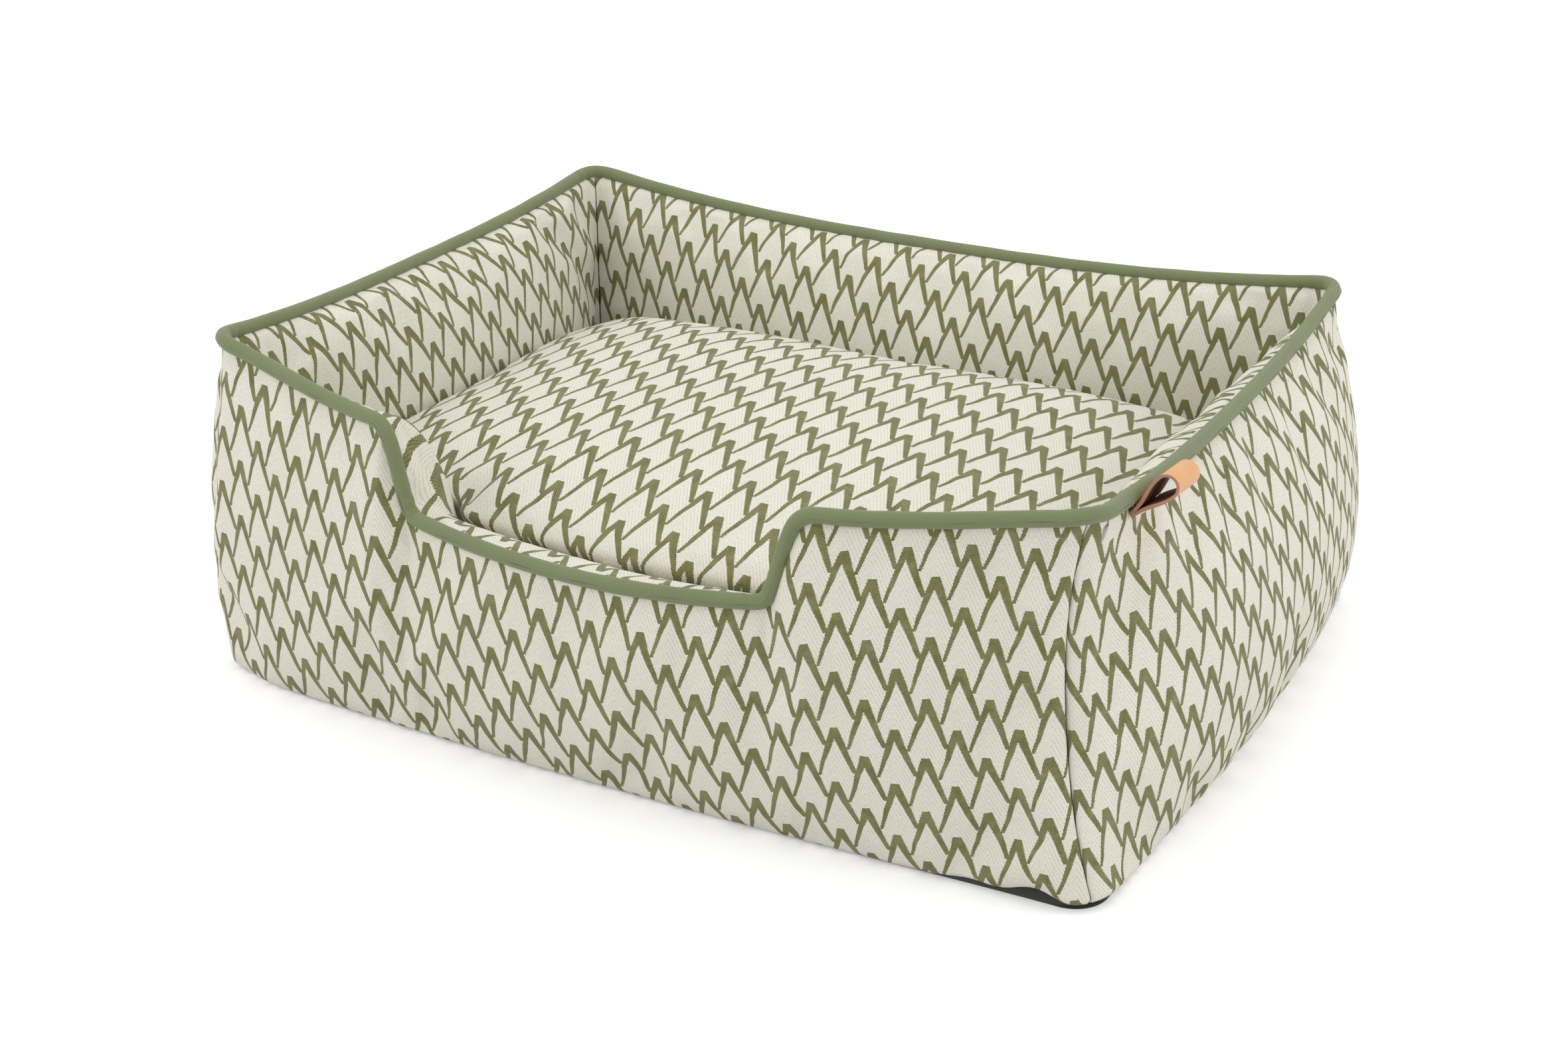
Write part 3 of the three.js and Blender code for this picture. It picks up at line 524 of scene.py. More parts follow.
def stuffing(side):
    """A closed body well inside the wall's two faces, lumpy as fibre is."""
    s = places(0.018, 2 * side.run["base"]) * 0.96
    outer = along_curve(outer_curve(side, s), np.linspace(0.02, 0.8, 12))
    inner = along_curve(inner_curve(side, s), np.linspace(0.16, 0.98, 12))
    under_cloth = 0.0075
    outer = outer - slopes(outer) * under_cloth
    inner = inner - slopes(inner) * under_cloth
    heel = mix(inner[:, -1:], outer[:, :1], np.array((0.3, 0.7))[None, :, None])
    section = np.concatenate([outer, inner, heel, outer[:, :1]], 1)
    section[..., 2] = np.maximum(section[..., 2], 0.0062)
    lumps = np.sin(section[..., 0] * 71) * np.sin(section[..., 1] * 83) * np.sin(section[..., 2] * 67)
    section = section + lumps[..., None] * (section - section.mean(1, keepdims=True)) * 0.02
    made = grid_through(section)
    bmesh.ops.remove_doubles(made, verts=made.verts, dist=1e-6)
    bmesh.ops.holes_fill(made, edges=made.edges, sides=0)
    bmesh.ops.recalc_face_normals(made, faces=made.faces)
    body = piece(f"{side.name}_wall_stuffing", made)
    body.data.materials.append(FIBRE)
    fit(body, "shell", f"{side.name}_bolster_fill")
    return body


STUFFING = {name: stuffing(side) for name, side in SIDES.items()}

# ---- outer walls ------------------------------------------------------------------------------
# The outer face of each wall is one panel of jacquard: cream scales with pointed olive outlines,
# all pointing up. It is sewn to the piping at the ridge and to the bottom panel at its hem.


def scale_half(tree, across, down, shift):
    """One of the two half-drop rows of scales: its outline, how far below its tip a thread runs,
    and the chevron inside it."""
    side_step = reckon(tree, "FRACT", reckon(tree, "ADD", across, shift + 0.5))
    offset = reckon(tree, "SUBTRACT", side_step, 0.5)
    depth = reckon(tree, "FRACT", reckon(tree, "ADD", down, shift))
    right = reckon(tree, "GREATER_THAN", offset, 0.0)
    reach = reckon(tree, "ABSOLUTE", offset)
    outer_slope = reckon(tree, "MULTIPLY_ADD", right, 0.13, 0.255)
    inner_slope = reckon(tree, "MULTIPLY_ADD", right, 0.14, 0.345)
    end = reckon(tree, "MULTIPLY_ADD", right, -0.06, 0.9)
    outer_edge = reckon(tree, "MULTIPLY_ADD", depth, outer_slope, 0.066)
    inner_edge = reckon(tree, "MULTIPLY", reckon(tree, "SUBTRACT", depth, 0.21), inner_slope)
    within = reckon(tree, "LESS_THAN", reach, outer_edge)
    beyond = reckon(tree, "GREATER_THAN", reach, inner_edge)
    leg = reckon(tree, "MULTIPLY", within, beyond)
    leg = reckon(tree, "MULTIPLY", leg, reckon(tree, "LESS_THAN", depth, end))
    whole_depth = reckon(tree, "ADD", depth, beyond)
    spread = reckon(tree, "MULTIPLY_ADD", right, -0.65, 2.5)
    spread = reckon(tree, "MULTIPLY", spread, -1.0)
    return leg, whole_depth, reckon(tree, "MULTIPLY_ADD", reach, spread, whole_depth)


def scales_group():
    """Half-drop lattice of pointed scales on the flat cloth, drawn in whole threads."""
    sizes = {"Width": ("Float", 0.045), "Drop": ("Float", 0.042), "Thread": ("Float", 0.001)}
    tree, takes, gives = new_group(
        "pointed scales",
        {"Cloth": ("Vector", None), **sizes},
        {"Outline": "Float", "Fine Lines": "Float", "Height": "Float"},
    )
    flat = put(tree, "ShaderNodeSeparateXYZ", Vector=takes["Cloth"]).outputs
    thread = takes["Thread"]
    wobble = put(tree, "ShaderNodeTexNoise", Vector=takes["Cloth"], Scale=60.0, Detail=1.0).outputs[0]
    sway = reckon(tree, "MULTIPLY", reckon(tree, "SUBTRACT", wobble, 0.5), 0.0022)
    across = reckon(tree, "SNAP", reckon(tree, "ADD", flat[0], sway), thread)
    pick = reckon(tree, "MULTIPLY", thread, 0.8)
    up = reckon(tree, "SNAP", reckon(tree, "SUBTRACT", flat[1], sway), pick)
    cell_across = reckon(tree, "DIVIDE", across, takes["Width"])
    cell_down = reckon(tree, "MULTIPLY", reckon(tree, "DIVIDE", up, takes["Drop"]), -1.0)
    leg_a, depth_a, chevron_a = scale_half(tree, cell_across, cell_down, 0.0)
    leg_b, depth_b, chevron_b = scale_half(tree, cell_across, cell_down, 0.5)
    outline = reckon(tree, "MAXIMUM", leg_a, leg_b)
    nearer = reckon(tree, "LESS_THAN", depth_a, depth_b)
    gap = reckon(tree, "SUBTRACT", chevron_a, chevron_b)
    chevron = reckon(tree, "MULTIPLY_ADD", gap, nearer, chevron_b)
    wave = reckon(tree, "FRACT", reckon(tree, "MULTIPLY", chevron, 9.0))
    counted = [reckon(tree, "DIVIDE", way, thread) for way in (across, up)]
    spot = put(tree, "ShaderNodeCombineXYZ", X=counted[0], Y=counted[1])
    grain = tree.nodes.new("ShaderNodeTexWhiteNoise")
    grain.noise_dimensions = "2D"
    wire(tree, grain.inputs["Vector"], spot.outputs[0])
    dotted = reckon(tree, "GREATER_THAN", grain.outputs[0], 0.18)
    lines = reckon(tree, "MULTIPLY", reckon(tree, "LESS_THAN", wave, 0.3), dotted)
    cream = reckon(tree, "SUBTRACT", 1.0, outline)
    wire(tree, gives["Outline"], outline)
    wire(tree, gives["Fine Lines"], reckon(tree, "MULTIPLY", lines, cream))
    ribs = reckon(tree, "SINE", reckon(tree, "MULTIPLY", chevron, 56.5))
    count = reckon(tree, "DIVIDE", FULL_TURN, thread)
    warp = reckon(tree, "SINE", reckon(tree, "MULTIPLY", flat[0], count))
    low = reckon(tree, "MULTIPLY", reckon(tree, "MULTIPLY", ribs, 0.28), cream)
    low = reckon(tree, "MULTIPLY_ADD", warp, 0.12, low)
    height = reckon(tree, "MULTIPLY_ADD", outline, 0.35, low)
    wire(tree, gives["Height"], reckon(tree, "MULTIPLY_ADD", grain.outputs[0], 0.3, height))
    return tree


SCALES = scales_group()


def jacquard_material():
    material, tree, skin = new_material("scale_jacquard")
    cloth = cloth_map(tree)
    weave = placed_group(tree, SCALES, Cloth=cloth, Width=0.0415, Drop=0.0415, Thread=0.0006)
    soil = put(tree, "ShaderNodeTexNoise", Vector=cloth, Scale=14.0, Detail=3.0).outputs[0]
    streak = put(tree, "ShaderNodeTexNoise", Vector=cloth, Scale=420.0, Detail=2.0).outputs[0]
    cream = blended(tree, soil, tone(224, 219, 205), tone(236, 232, 220))
    lines = reckon(tree, "MULTIPLY", weave["Fine Lines"], 0.6)
    cream = blended(tree, lines, cream, tone(194, 186, 168))
    olive = blended(tree, streak, tone(76, 75, 38), tone(124, 121, 68))
    flat = put(tree, "ShaderNodeSeparateXYZ", Vector=cloth).outputs
    across = reckon(tree, "SINE", reckon(tree, "MULTIPLY", flat[0], 3700.0))
    up = reckon(tree, "SINE", reckon(tree, "MULTIPLY", flat[1], 4200.0))
    patch = put(tree, "ShaderNodeTexNoise", Vector=cloth, Scale=90.0, Detail=2.0).outputs[0]
    fleck = reckon(tree, "MULTIPLY_ADD", patch, 1.6, reckon(tree, "MULTIPLY", across, up))
    fleck = reckon(tree, "MULTIPLY", reckon(tree, "GREATER_THAN", fleck, 1.22), 0.7)
    olive = blended(tree, fleck, olive, tone(188, 184, 144))
    wire(tree, skin.inputs["Base Color"], blended(tree, weave["Outline"], cream, olive))
    skin.inputs["Roughness"].default_value = 0.92
    skin.inputs["Specular IOR Level"].default_value = 0.2
    skin.inputs["Sheen Weight"].default_value = 0.12
    skin.inputs["Sheen Roughness"].default_value = 0.6
    raise_surface(tree, skin, 0.55, 0.0007, weave["Height"])
    return material


JACQUARD = jacquard_material()


def level_run(points):
    """Distance along each row of points, measured level, from the middle of the side."""
    steps = np.linalg.norm(np.diff(points[..., :2], axis=0), axis=-1)
    run = np.concatenate([np.zeros((1, points.shape[1])), np.cumsum(steps, 0)])
    return run - run[len(run) // 2]


def rising_run(points):
    """Distance up each column of points, from its first one."""
    steps = np.linalg.norm(np.diff(points, axis=1), axis=-1)
    return np.concatenate([np.zeros((len(points), 1)), np.cumsum(steps, 1)], 1)


def wander(u, v, scale, seed):
    """Slow unevenness from -1 to 1, the same at each run."""
    total = np.zeros_like(u)
    for k in range(1, 5):
        a = np.sin(seed * 12.9 + k * 78.2)
        b = np.sin(seed * 39.3 + k * 11.1)
        c = seed * 3.7 + k * 1.9
        total = total + np.sin((u * a + v * b) * k * FULL_TURN / scale + c) / k
    return total / 2.1


def gathers(u, depth, pitch, reach, seed):
    """Small puckers that run in from a seam and die out."""
    ripple = np.sin(FULL_TURN * u / pitch + 1.6 * wander(u, 0 * u, pitch * 5, seed))
    strength = 0.6 + 0.4 * wander(u, 0 * u, pitch * 9, seed + 3)
    return ripple * strength * np.exp(-depth / reach)


def front_stations(step):
    """Places along the front, closer together down both steps of the entry."""
    even = places(step, 2 * WIDE[1])
    at_step = np.linspace(0.134, 0.184, 17) / (WIDE[0] - RIDGE_CORNER) * CORNER
    half = (at_step[-1] - at_step[0]) / 2
    kept = even[np.abs(np.abs(even) - at_step.mean()) > half + 0.004]
    return np.sort(np.concatenate([kept, at_step, -at_step]))


def stations(side, step):
    return front_stations(step) if side.name == "front" else places(step, 2 * side.run["base"])


def uphill(u):
    """The cloth of the front is drawn up toward its right corner."""
    return 0.08 * (np.hypot(u - 0.06, 0.05) + u - 0.06)


def outer_face(side):
    """The outer face from the edge that is tucked under its hem, with puckers and folds, and with
    a seam allowance turned in at both corners."""
    s = stations(side, 0.008)
    close_up = 0.86
    near_seam = close_up + (1 - close_up) * np.linspace(0, 1, 9)[1:]
    t = np.concatenate([np.linspace(0, close_up, 30), near_seam])
    face = along_curve(outer_curve(side, s), t)
    outward = side.outward(s)[:, None]
    tuck_in = np.array((-0.0065, -0.0036, -0.0014, -0.0003))[None, :, None]
    tuck_down = np.array((-0.0078, -0.0066, -0.0042, -0.002))[None, :, None]
    under = face[:, :1] + outward * tuck_in + UP * tuck_down
    face = np.concatenate([under, face], 1)
    u, v = level_run(face), rising_run(face)
    from_seam = v[:, -1:] - v
    normal = slopes(face)
    normal = normal * np.sign((normal * outward).sum(-1).mean())
    ends = (1 - np.abs(s))[:, None] * side.run["base"]
    inland = smooth(ends, 0, 0.014)
    pinned = smooth(from_seam, 0, 0.012) * smooth(v, 0, 0.03) * inland
    swell = 0.0016 * wander(u, v, 0.21, 1 + len(side.name)) * pinned
    pucker = 0.0009 * gathers(u, from_seam, 0.021, 0.013, 2) * smooth(from_seam, 0.0, 0.005)
    corner_fold = 0.0022 * gathers(u, from_seam, 0.016, 0.03, 5) * np.exp(-ends / 0.045)
    corner_fold = corner_fold * smooth(from_seam, 0, 0.01)
    groove = -0.001 * np.exp(-ends / 0.0035) * smooth(from_seam, 0, 0.02) * smooth(v, 0.01, 0.04)
    raised = swell + pucker * inland + corner_fold * inland
    face = face + normal * raised[..., None] + outward * groove[..., None]
    allowance = 0.006
    apart = np.array((*side.along, 0)) * 0.0003
    first = face[0] - outward[0] * allowance + apart
    last = face[-1] - outward[-1] * allowance - apart
    face = np.concatenate([[first], face, [last]])
    u = np.concatenate([u[:1] - allowance, u, u[-1:] + allowance])
    v = np.concatenate([v[:1], v, v[-1:]])
    return np.concatenate([s[:1], s, s[-1:]]), u, v, face


def lifted_hem(side, s, u, v, face):
    """Near the front right corner the hem has worked up off the bottom panel in two waves."""
    if side.name == "front":
        place = (s - 0.9) * 0.36
    elif side.name == "right":
        place = (s + 1.0) * 0.27 + 0.036
    else:
        return face
    wave = 0.0075 + 0.0035 * np.cos(FULL_TURN * place / 0.052)
    wave = np.exp(-((place / 0.05) ** 2)) * wave
    return face + UP * (wave[:, None] * np.exp(-v / 0.035))[..., None]


def wall_panel(kind, side, face, flat, inner, opening=None):
    """One panel of a wall: swollen by its stuffing, then given its thickness."""
    panel = sheet_of(f"{kind}_{side.name}_cloth", face, flat, inner, opening)
    panel.data.materials.append(JACQUARD)
    puffed(panel, 0.6, 0.025, 0.003)
    finish_cloth(panel)
    fit(panel, "shell", f"{kind}_{side.name}_panel")


ZIP_OPENING = ((-0.252, 0.28, 0.0218), (0.252, 0.32, 0.0462))
EASE = {"front": 1, "right": 0.92, "back": 1, "left": 0.95}  # the pattern's stretch on each wall
for name, side in SIDES.items():
    s, u, v, face = outer_face(side)
    face = lifted_hem(side, s, u, v, face)
    flat = np.stack([(u + 0.011) * EASE[name], v - 0.006 + 0.003 * wander(u, v, 0.36, 5)], -1)
    if name == "front":
        flat[..., 1] -= uphill(u)
    opening = ZIP_OPENING if name == "back" else None
    wall_panel("outer", side, face, flat, (0, 0, 0.1), opening)

# ---- inner walls ------------------------------------------------------------------------------
# The inner face of each wall is cut from the same cloth. It rolls over the top from the piping
# and drops to the floor, and the four pull in to a deep crease in each corner.

for name, side in SIDES.items():
    s = stations(side, 0.009)
    t = np.concatenate([np.linspace(0, 0.1, 7)[:-1], np.linspace(0.1, 1, 30)])
    face = along_curve(inner_curve(side, s), t)
    u, depth = -level_run(face), rising_run(face)
    normal = slopes(face)
    normal = normal * -np.sign((normal * side.outward(s)[:, None]).sum(-1).mean())
    pinned = smooth(depth, 0, 0.014)
    ends = (1 - np.abs(s))[:, None] * side.run["base"]
    swell = 0.0016 * wander(u, depth, 0.19, 7 + len(name)) * pinned
    pucker = 0.0009 * gathers(u, depth, 0.023, 0.014, 11) * smooth(depth, 0, 0.005)
    corner_fold = 0.002 * gathers(depth, ends, 0.03, 0.02, 8) * pinned
    face = face + normal * ((swell + pucker + corner_fold) * smooth(ends, 0, 0.01))[..., None]
    flat = np.stack([u + 0.004, depth[:, -1:] - depth + 0.002 * wander(u, depth, 0.3, 9)], -1)
    behind = side.spot(np.zeros(1), np.full(1, 0.45), 0.1)[0]
    wall_panel("inner", side, face, flat, behind)

# ---- piping -----------------------------------------------------------------------------------
# A cotton cord in a bias strip of sage canvas is caught in the ridge seam all round the bed.
# The strip wrinkles on the inside of each tight bend.


def ridge_path(step):
    """Even steps along the ridge seam, all round the bed."""
    rows = []
    for side in SIDES.values():
        s = np.linspace(-1, 1, 4001)
        line = seam_line(side, s)
        run = np.concatenate([[0], np.cumsum(np.linalg.norm(np.diff(line, axis=0), axis=1))])
        even = np.linspace(0, run[-1], int(round(run[-1] / step)) + 1)[:-1]
        at = np.interp(even, run, s)
        rows.append(seam_line(side, at))
    return np.concatenate(rows)


def smoothed_loop(values, times):
    for _ in range(times):
        values = 0.5 * values + 0.25 * (np.roll(values, 1, 0) + np.roll(values, -1, 0))
    return values


def ridge_tube(name, radius, around, step, wrinkled):
    """A closed tube on the ridge seam. Wrinkled cloth bunches on the inside of its bends."""
    path = smoothed_loop(ridge_path(step), 3)
    tangent = np.roll(path, -1, 0) - np.roll(path, 1, 0)
    spacing = np.linalg.norm(tangent, axis=1, keepdims=True) / 2
    tangent = tangent / (2 * spacing)
    bend = smoothed_loop((np.roll(tangent, -1, 0) - np.roll(tangent, 1, 0)) / (2 * spacing), 3)
    across = np.cross(tangent, UP)
    across = across - tangent * (across * tangent).sum(1, keepdims=True)
    across = smoothed_loop(across / np.linalg.norm(across, axis=1, keepdims=True), 2)
    lift = np.cross(across, tangent)
    lift = lift / np.linalg.norm(lift, axis=1, keepdims=True)
    centre = path + lift * 0.0032
    run = np.concatenate([[0], np.cumsum(spacing[:, 0])])
    angle = np.linspace(0, 2 * np.pi, around + 1)
    ring = np.cos(angle)[None, :, None] * across[:, None]
    ring = ring + np.sin(angle)[None, :, None] * lift[:, None]
    size = np.full((len(path), around + 1), radius)
    if wrinkled:
        inside = np.maximum(0, (ring * bend[:, None]).sum(-1)) * radius
        along = run[:-1, None] + 0.0012 * np.cos(angle)[None]
        size = size - np.minimum(0.0008, 0.02 * inside) * np.sin(FULL_TURN * along / 0.0062)
        size = size + 0.00022 * wander(along, 0.004 * angle[None] + 0 * along, 0.05, 4)
    points = centre[:, None] + ring * size[..., None]
    points = np.concatenate([points, points[:1]])
    flat = np.stack(np.broadcast_arrays(run[:, None], radius * angle[None]), -1)
    made = grid_through(points, flat)
    bmesh.ops.remove_doubles(made, verts=made.verts, dist=1e-6)
    bmesh.ops.recalc_face_normals(made, faces=made.faces)
    return piece(name, made)


piping = ridge_tube("piping_strip", 0.0058, 14, 0.004, True)
piping.data.materials.append(
    woven_material(
        "sage_canvas", tone(104, 112, 78), tone(134, 142, 104), 0.0009, 0.9, 0.85, 0.2, 0.00025
    )
)
finer = piping.modifiers.new("finer", "SUBSURF")
finer.levels = finer.render_levels = 1
fit(piping, "shell", "piping_cover")

cord = ridge_tube("piping_core", 0.0032, 8, 0.004, False)
cord.data.materials.append(
    woven_material(
        "cotton_cord", tone(214, 206, 186), tone(240, 235, 222), 0.0014, 1.4, 0.95, 0.2, 0.0005
    )
)
fit(cord, "shell", "piping_cord")

# ---- loose cushion ----------------------------------------------------------------------------
# The cushion's cover is the walls' cloth in two panels, sewn round its side: a domed top, and a
# bottom with a zip. Fibre fills it, so that it presses on the walls and swells over the entry.

SEAM_HEIGHT = 0.080
CUSHION_TOP = 0.194
CUSHION_BASE = 0.0050
ROUND_FROM = 0.84  # the share of a side's half at which the cushion's corner begins
DOME = 0.84  # the share of the way out at which the dome ends and the side begins
CROWN = 2.8
MIDDLE = np.array((0, SETBACK - 0.001))


def beside_wall(side, s, z, gap):
    """The place at height z that is a gap away from the inner wall."""
    t = np.linspace(0.16, 1, 120)
    wall = along_curve(inner_curve(side, s), t)
    share = np.array([np.interp(-height, -column[:, 2], t) for height, column in zip(z, wall)])
    spots = along_curve(inner_curve(side, s), share[:, None])[:, 0]
    spots[:, 2] = z
    return spots - side.outward(s) * gap


def contact_height(side, s):
    """Where the cushion leaves the wall: lower in the corners, and below the crest of the entry."""
    wanted = mix(0.124, 0.158, 1 - np.abs(s) ** 3)
    if side.name == "front":
        wanted = wanted + 0.014 * np.exp(-(((np.abs(s) - 0.5) / 0.14) ** 2))
    return np.minimum(wanted, 0.955 * seam_line(side, s)[:, 2])


def edge_place(side, q, height, gap):
    """A place round the cushion, q from -1 to 1 along a side. Its corners are round."""
    s = np.clip(q, -ROUND_FROM, ROUND_FROM)
    spots = beside_wall(side, s, height(side, s), gap)
    ring = list(SIDES.values())
    here = ring.index(side)
    for sign in (-1, 1):
        other = ring[(here + sign) % 4]
        ends = np.array((sign * ROUND_FROM, -sign * ROUND_FROM))
        near = beside_wall(side, ends[:1], height(side, ends[:1]), gap)[0]
        far = beside_wall(other, ends[1:], height(other, ends[1:]), gap)[0]
        meet = side.out * (near[:2] @ side.out) + other.out * (far[:2] @ other.out)
        corner = np.array((*meet, near[2]))
        t = np.maximum(0, sign * q - ROUND_FROM) / (1 - ROUND_FROM) / 2
        bend = near * (1 - t[:, None]) ** 2 + corner * 2 * (t * (1 - t))[:, None]
        bend = bend + far * (t**2)[:, None]
        spots = np.where((sign * q > ROUND_FROM)[:, None], bend, spots)
    return spots


def square_grid(count, ring_place):
    """Points over the cushion in square rings, from one point in its middle out to its edge."""
    even = np.linspace(-1, 1, 2 * count + 1)
    a, b = np.meshgrid(even, even, indexing="ij")
    points = np.zeros((*a.shape, 3))
    reach = np.maximum(np.abs(a), np.abs(b))
    for k in range(count + 1):
        on_ring = np.isclose(reach, k / count)
        for side in SIDES.values():
            outward = a * side.out[0] + b * side.out[1]
            along = a * side.along[0] + b * side.along[1]
            here = on_ring & (outward >= np.abs(along) - 1e-9)
            q = along[here] / max(k / count, 1e-9)
            points[here] = ring_place(side, q, k / count)
    return points


def level_at(height):
    return lambda side, s: np.full(len(s), height)


def cushion_top_ring(side, q, reach):
    """The dome out to where it meets the wall, then down the wall to the seam."""
    edge = edge_place(side, q, contact_height, 0.0035)
    if reach <= DOME:
        share = reach / DOME
        flat = MIDDLE + (edge[:, :2] - MIDDLE) * share
        height = CUSHION_TOP - (CUSHION_TOP - edge[:, 2]) * share**CROWN
        return np.column_stack([flat, height])
    down = (reach - DOME) / (1 - DOME)

    def falling(side, s):
        return mix(contact_height(side, s), SEAM_HEIGHT, down)

    return edge_place(side, q, falling, 0.0022)


def cushion_bottom_ring(side, q, reach):
    """Flat under the cushion, then round up the wall to the seam."""
    level = CUSHION_BASE + 0 * q
    if reach <= DOME:
        edge = edge_place(side, q, level_at(0.012), 0.020)
        flat = MIDDLE + (edge[:, :2] - MIDDLE) * (reach / DOME)
        return np.column_stack([flat, level])
    up = (reach - DOME) / (1 - DOME)
    turn = min(1, up * 2) * np.pi / 2
    round_off = 0.020 * (1 - np.sin(turn)) + 0.0022
    rise = CUSHION_BASE + (SEAM_HEIGHT - CUSHION_BASE) * (0.22 * (1 - np.cos(turn)))
    rise = rise + (SEAM_HEIGHT - CUSHION_BASE) * 0.78 * max(0, up * 2 - 1)
    return edge_place(side, q, level_at(rise), round_off)


def laid_flat(points, sign):
    """UV metres of a panel that is flat in its middle and turned down or up at its side."""
    from_middle = points[..., :2] - MIDDLE
    size = np.linalg.norm(from_middle, axis=-1, keepdims=True)
    centre = points[len(points) // 2, len(points) // 2, 2]
    drop = np.maximum(0, (points[..., 2:] - centre) * sign - 0.03)
    return from_middle * (1 + drop / np.maximum(size, 0.1)) * (0.93, 0.86)


top = square_grid(44, cushion_top_ring)
cushion_top = sheet_of("cushion_top_cloth", top, laid_flat(top, -1), (0, 0, 0.05))
cushion_top.data.materials.append(JACQUARD)
puffed(cushion_top, 1.2, 0.03, 0.009, 0.11)
fit(cushion_top, "cushion", "cushion_cover_top")

CUSHION_OPENING = ((-0.202, 0.12004, -0.01), (0.202, 0.14444, 0.02))
under = square_grid(36, cushion_bottom_ring)
cushion_bottom = sheet_of(
    "cushion_bottom_cloth", under, laid_flat(under, 1), (0, 0, 0.1), CUSHION_OPENING
)
cushion_bottom.data.materials.append(JACQUARD)
fit(cushion_bottom, "cushion", "cushion_cover_bottom")


def cushion_fill_ring(side, q, reach):
    """The fibre under the cover: its dome, then its side down to its flat bottom."""
    under_cover = 0.009
    if reach <= 0.7:
        edge = edge_place(side, q, contact_height, 0.014)
        share = reach / 0.7
        height = CUSHION_TOP - under_cover - (CUSHION_TOP - edge[:, 2]) * share**CROWN
        return np.column_stack([MIDDLE + (edge[:, :2] - MIDDLE) * share, height])
    down = (reach - 0.7) / 0.3

    def falling(side, s):
        return mix(contact_height(side, s) - under_cover, 0.016, down)

    return edge_place(side, q, falling, 0.014 + 0.010 * down**3)


made = grid_through(square_grid(16, cushion_fill_ring))
bmesh.ops.holes_fill(made, edges=[e for e in made.edges if e.is_boundary], sides=0)
bmesh.ops.recalc_face_normals(made, faces=made.faces)
cushion_fill = piece("cushion_stuffing", made)
cushion_fill.data.materials.append(FIBRE)
fit(cushion_fill, "cushion", "cushion_insert")
for obj, wide, long in ((cushion_top, 0.76, 0.58), (cushion_bottom, 0.74, 0.56)):
    finish_cloth(obj)

# ---- zips -------------------------------------------------------------------------------------
# Two nylon coil zips: one low in the back wall, one under the cushion. Woven tapes, a coil of
# fine loops between them, and a cast slider; the one in the wall has a hanging pull.


def tape_material():
    material, tree, skin = new_material("zip_tape_weave")
    spot = put(tree, "ShaderNodeTexCoord").outputs["Object"]
    along = put(tree, "ShaderNodeSeparateXYZ", Vector=spot).outputs[0]
    rib = reckon(tree, "SINE", reckon(tree, "MULTIPLY", along, 7000))
    rib = reckon(tree, "MULTIPLY_ADD", rib, 0.5, 0.5)
    fibre = put(tree, "ShaderNodeTexNoise", Vector=spot, Scale=1200.0, Detail=2.0).outputs[0]
    uneven = reckon(tree, "MULTIPLY_ADD", rib, 0.5, reckon(tree, "MULTIPLY", fibre, 0.5))
    wire(tree, skin.inputs["Base Color"], blended(tree, uneven, tone(88, 92, 66), tone(122, 126, 94)))
    skin.inputs["Roughness"].default_value = 0.85
    raise_surface(tree, skin, 0.5, 0.0003, uneven)
    return material


def moulded_material(name, dark, light, roughness, metallic, scale):
    """Nylon or cast metal: a slight mottling in tone and gloss."""
    material, tree, skin = new_material(name)
    spot = put(tree, "ShaderNodeTexCoord").outputs["Object"]
    mottle = put(tree, "ShaderNodeTexNoise", Vector=spot, Scale=scale, Detail=4.0).outputs[0]
    wire(tree, skin.inputs["Base Color"], blended(tree, mottle, dark, light))
    wire(tree, skin.inputs["Roughness"], reckon(tree, "MULTIPLY_ADD", mottle, 0.15, roughness))
    skin.inputs["Metallic"].default_value = metallic
    raise_surface(tree, skin, 0.2, 0.0002, mottle)
    return material


def give(node, material):
    """A CAD node keeps its shape and takes a better finish."""
    mesh = bpy.data.objects[node].data
    mesh.materials.clear()
    mesh.materials.append(material)


TAPE = tape_material()
NYLON = moulded_material("zip_nylon", tone(92, 96, 70), tone(116, 120, 90), 0.35, 0, 900)
METAL = moulded_material("cast_zinc", tone(150, 148, 140), tone(186, 184, 176), 0.28, 1, 700)


def coil_loops(name, body, replaced, place):
    """One low arch of the coil after another, as the thread of nylon lies across the zip."""
    low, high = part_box(replaced)
    pitch, radius = 0.00155, 0.00042
    half_turn, half_width, arch = 1.35, 0.0024, 0.0015
    count = int((high[0] - low[0]) / pitch)
    made = bmesh.new()
    bmesh.ops.create_cone(made, cap_ends=False, segments=5, radius1=radius, radius2=radius, depth=2)
    long_edges = [e for e in made.edges if abs(e.verts[0].co.z - e.verts[1].co.z) > 1]
    bmesh.ops.subdivide_edges(made, edges=long_edges, cuts=3, use_grid_fill=True)
    for vert in made.verts:
        turn = vert.co.z * half_turn
        width = half_width * np.sin(turn) / np.sin(half_turn)
        rise = arch * (np.cos(turn) - np.cos(half_turn)) / (1 - np.cos(half_turn))
        vert.co = (vert.co.x, width, rise + 0.0014 + vert.co.y)
    first = made.verts[:] + made.edges[:] + made.faces[:]
    for k in range(1, count):
        copy = bmesh.ops.duplicate(made, geom=first)["geom"]
        verts = [v for v in copy if isinstance(v, bmesh.types.BMVert)]
        bmesh.ops.translate(made, verts=verts, vec=(k * pitch, 0, 0))
    bmesh.ops.translate(made, verts=made.verts, vec=(low[0] + pitch / 2, 0, 0))
    bmesh.ops.transform(made, matrix=place, verts=made.verts)
    bmesh.ops.recalc_face_normals(made, faces=made.faces)
    coil = piece(name, made)
    coil.data.materials.append(NYLON)
    fit(coil, body, replaced)


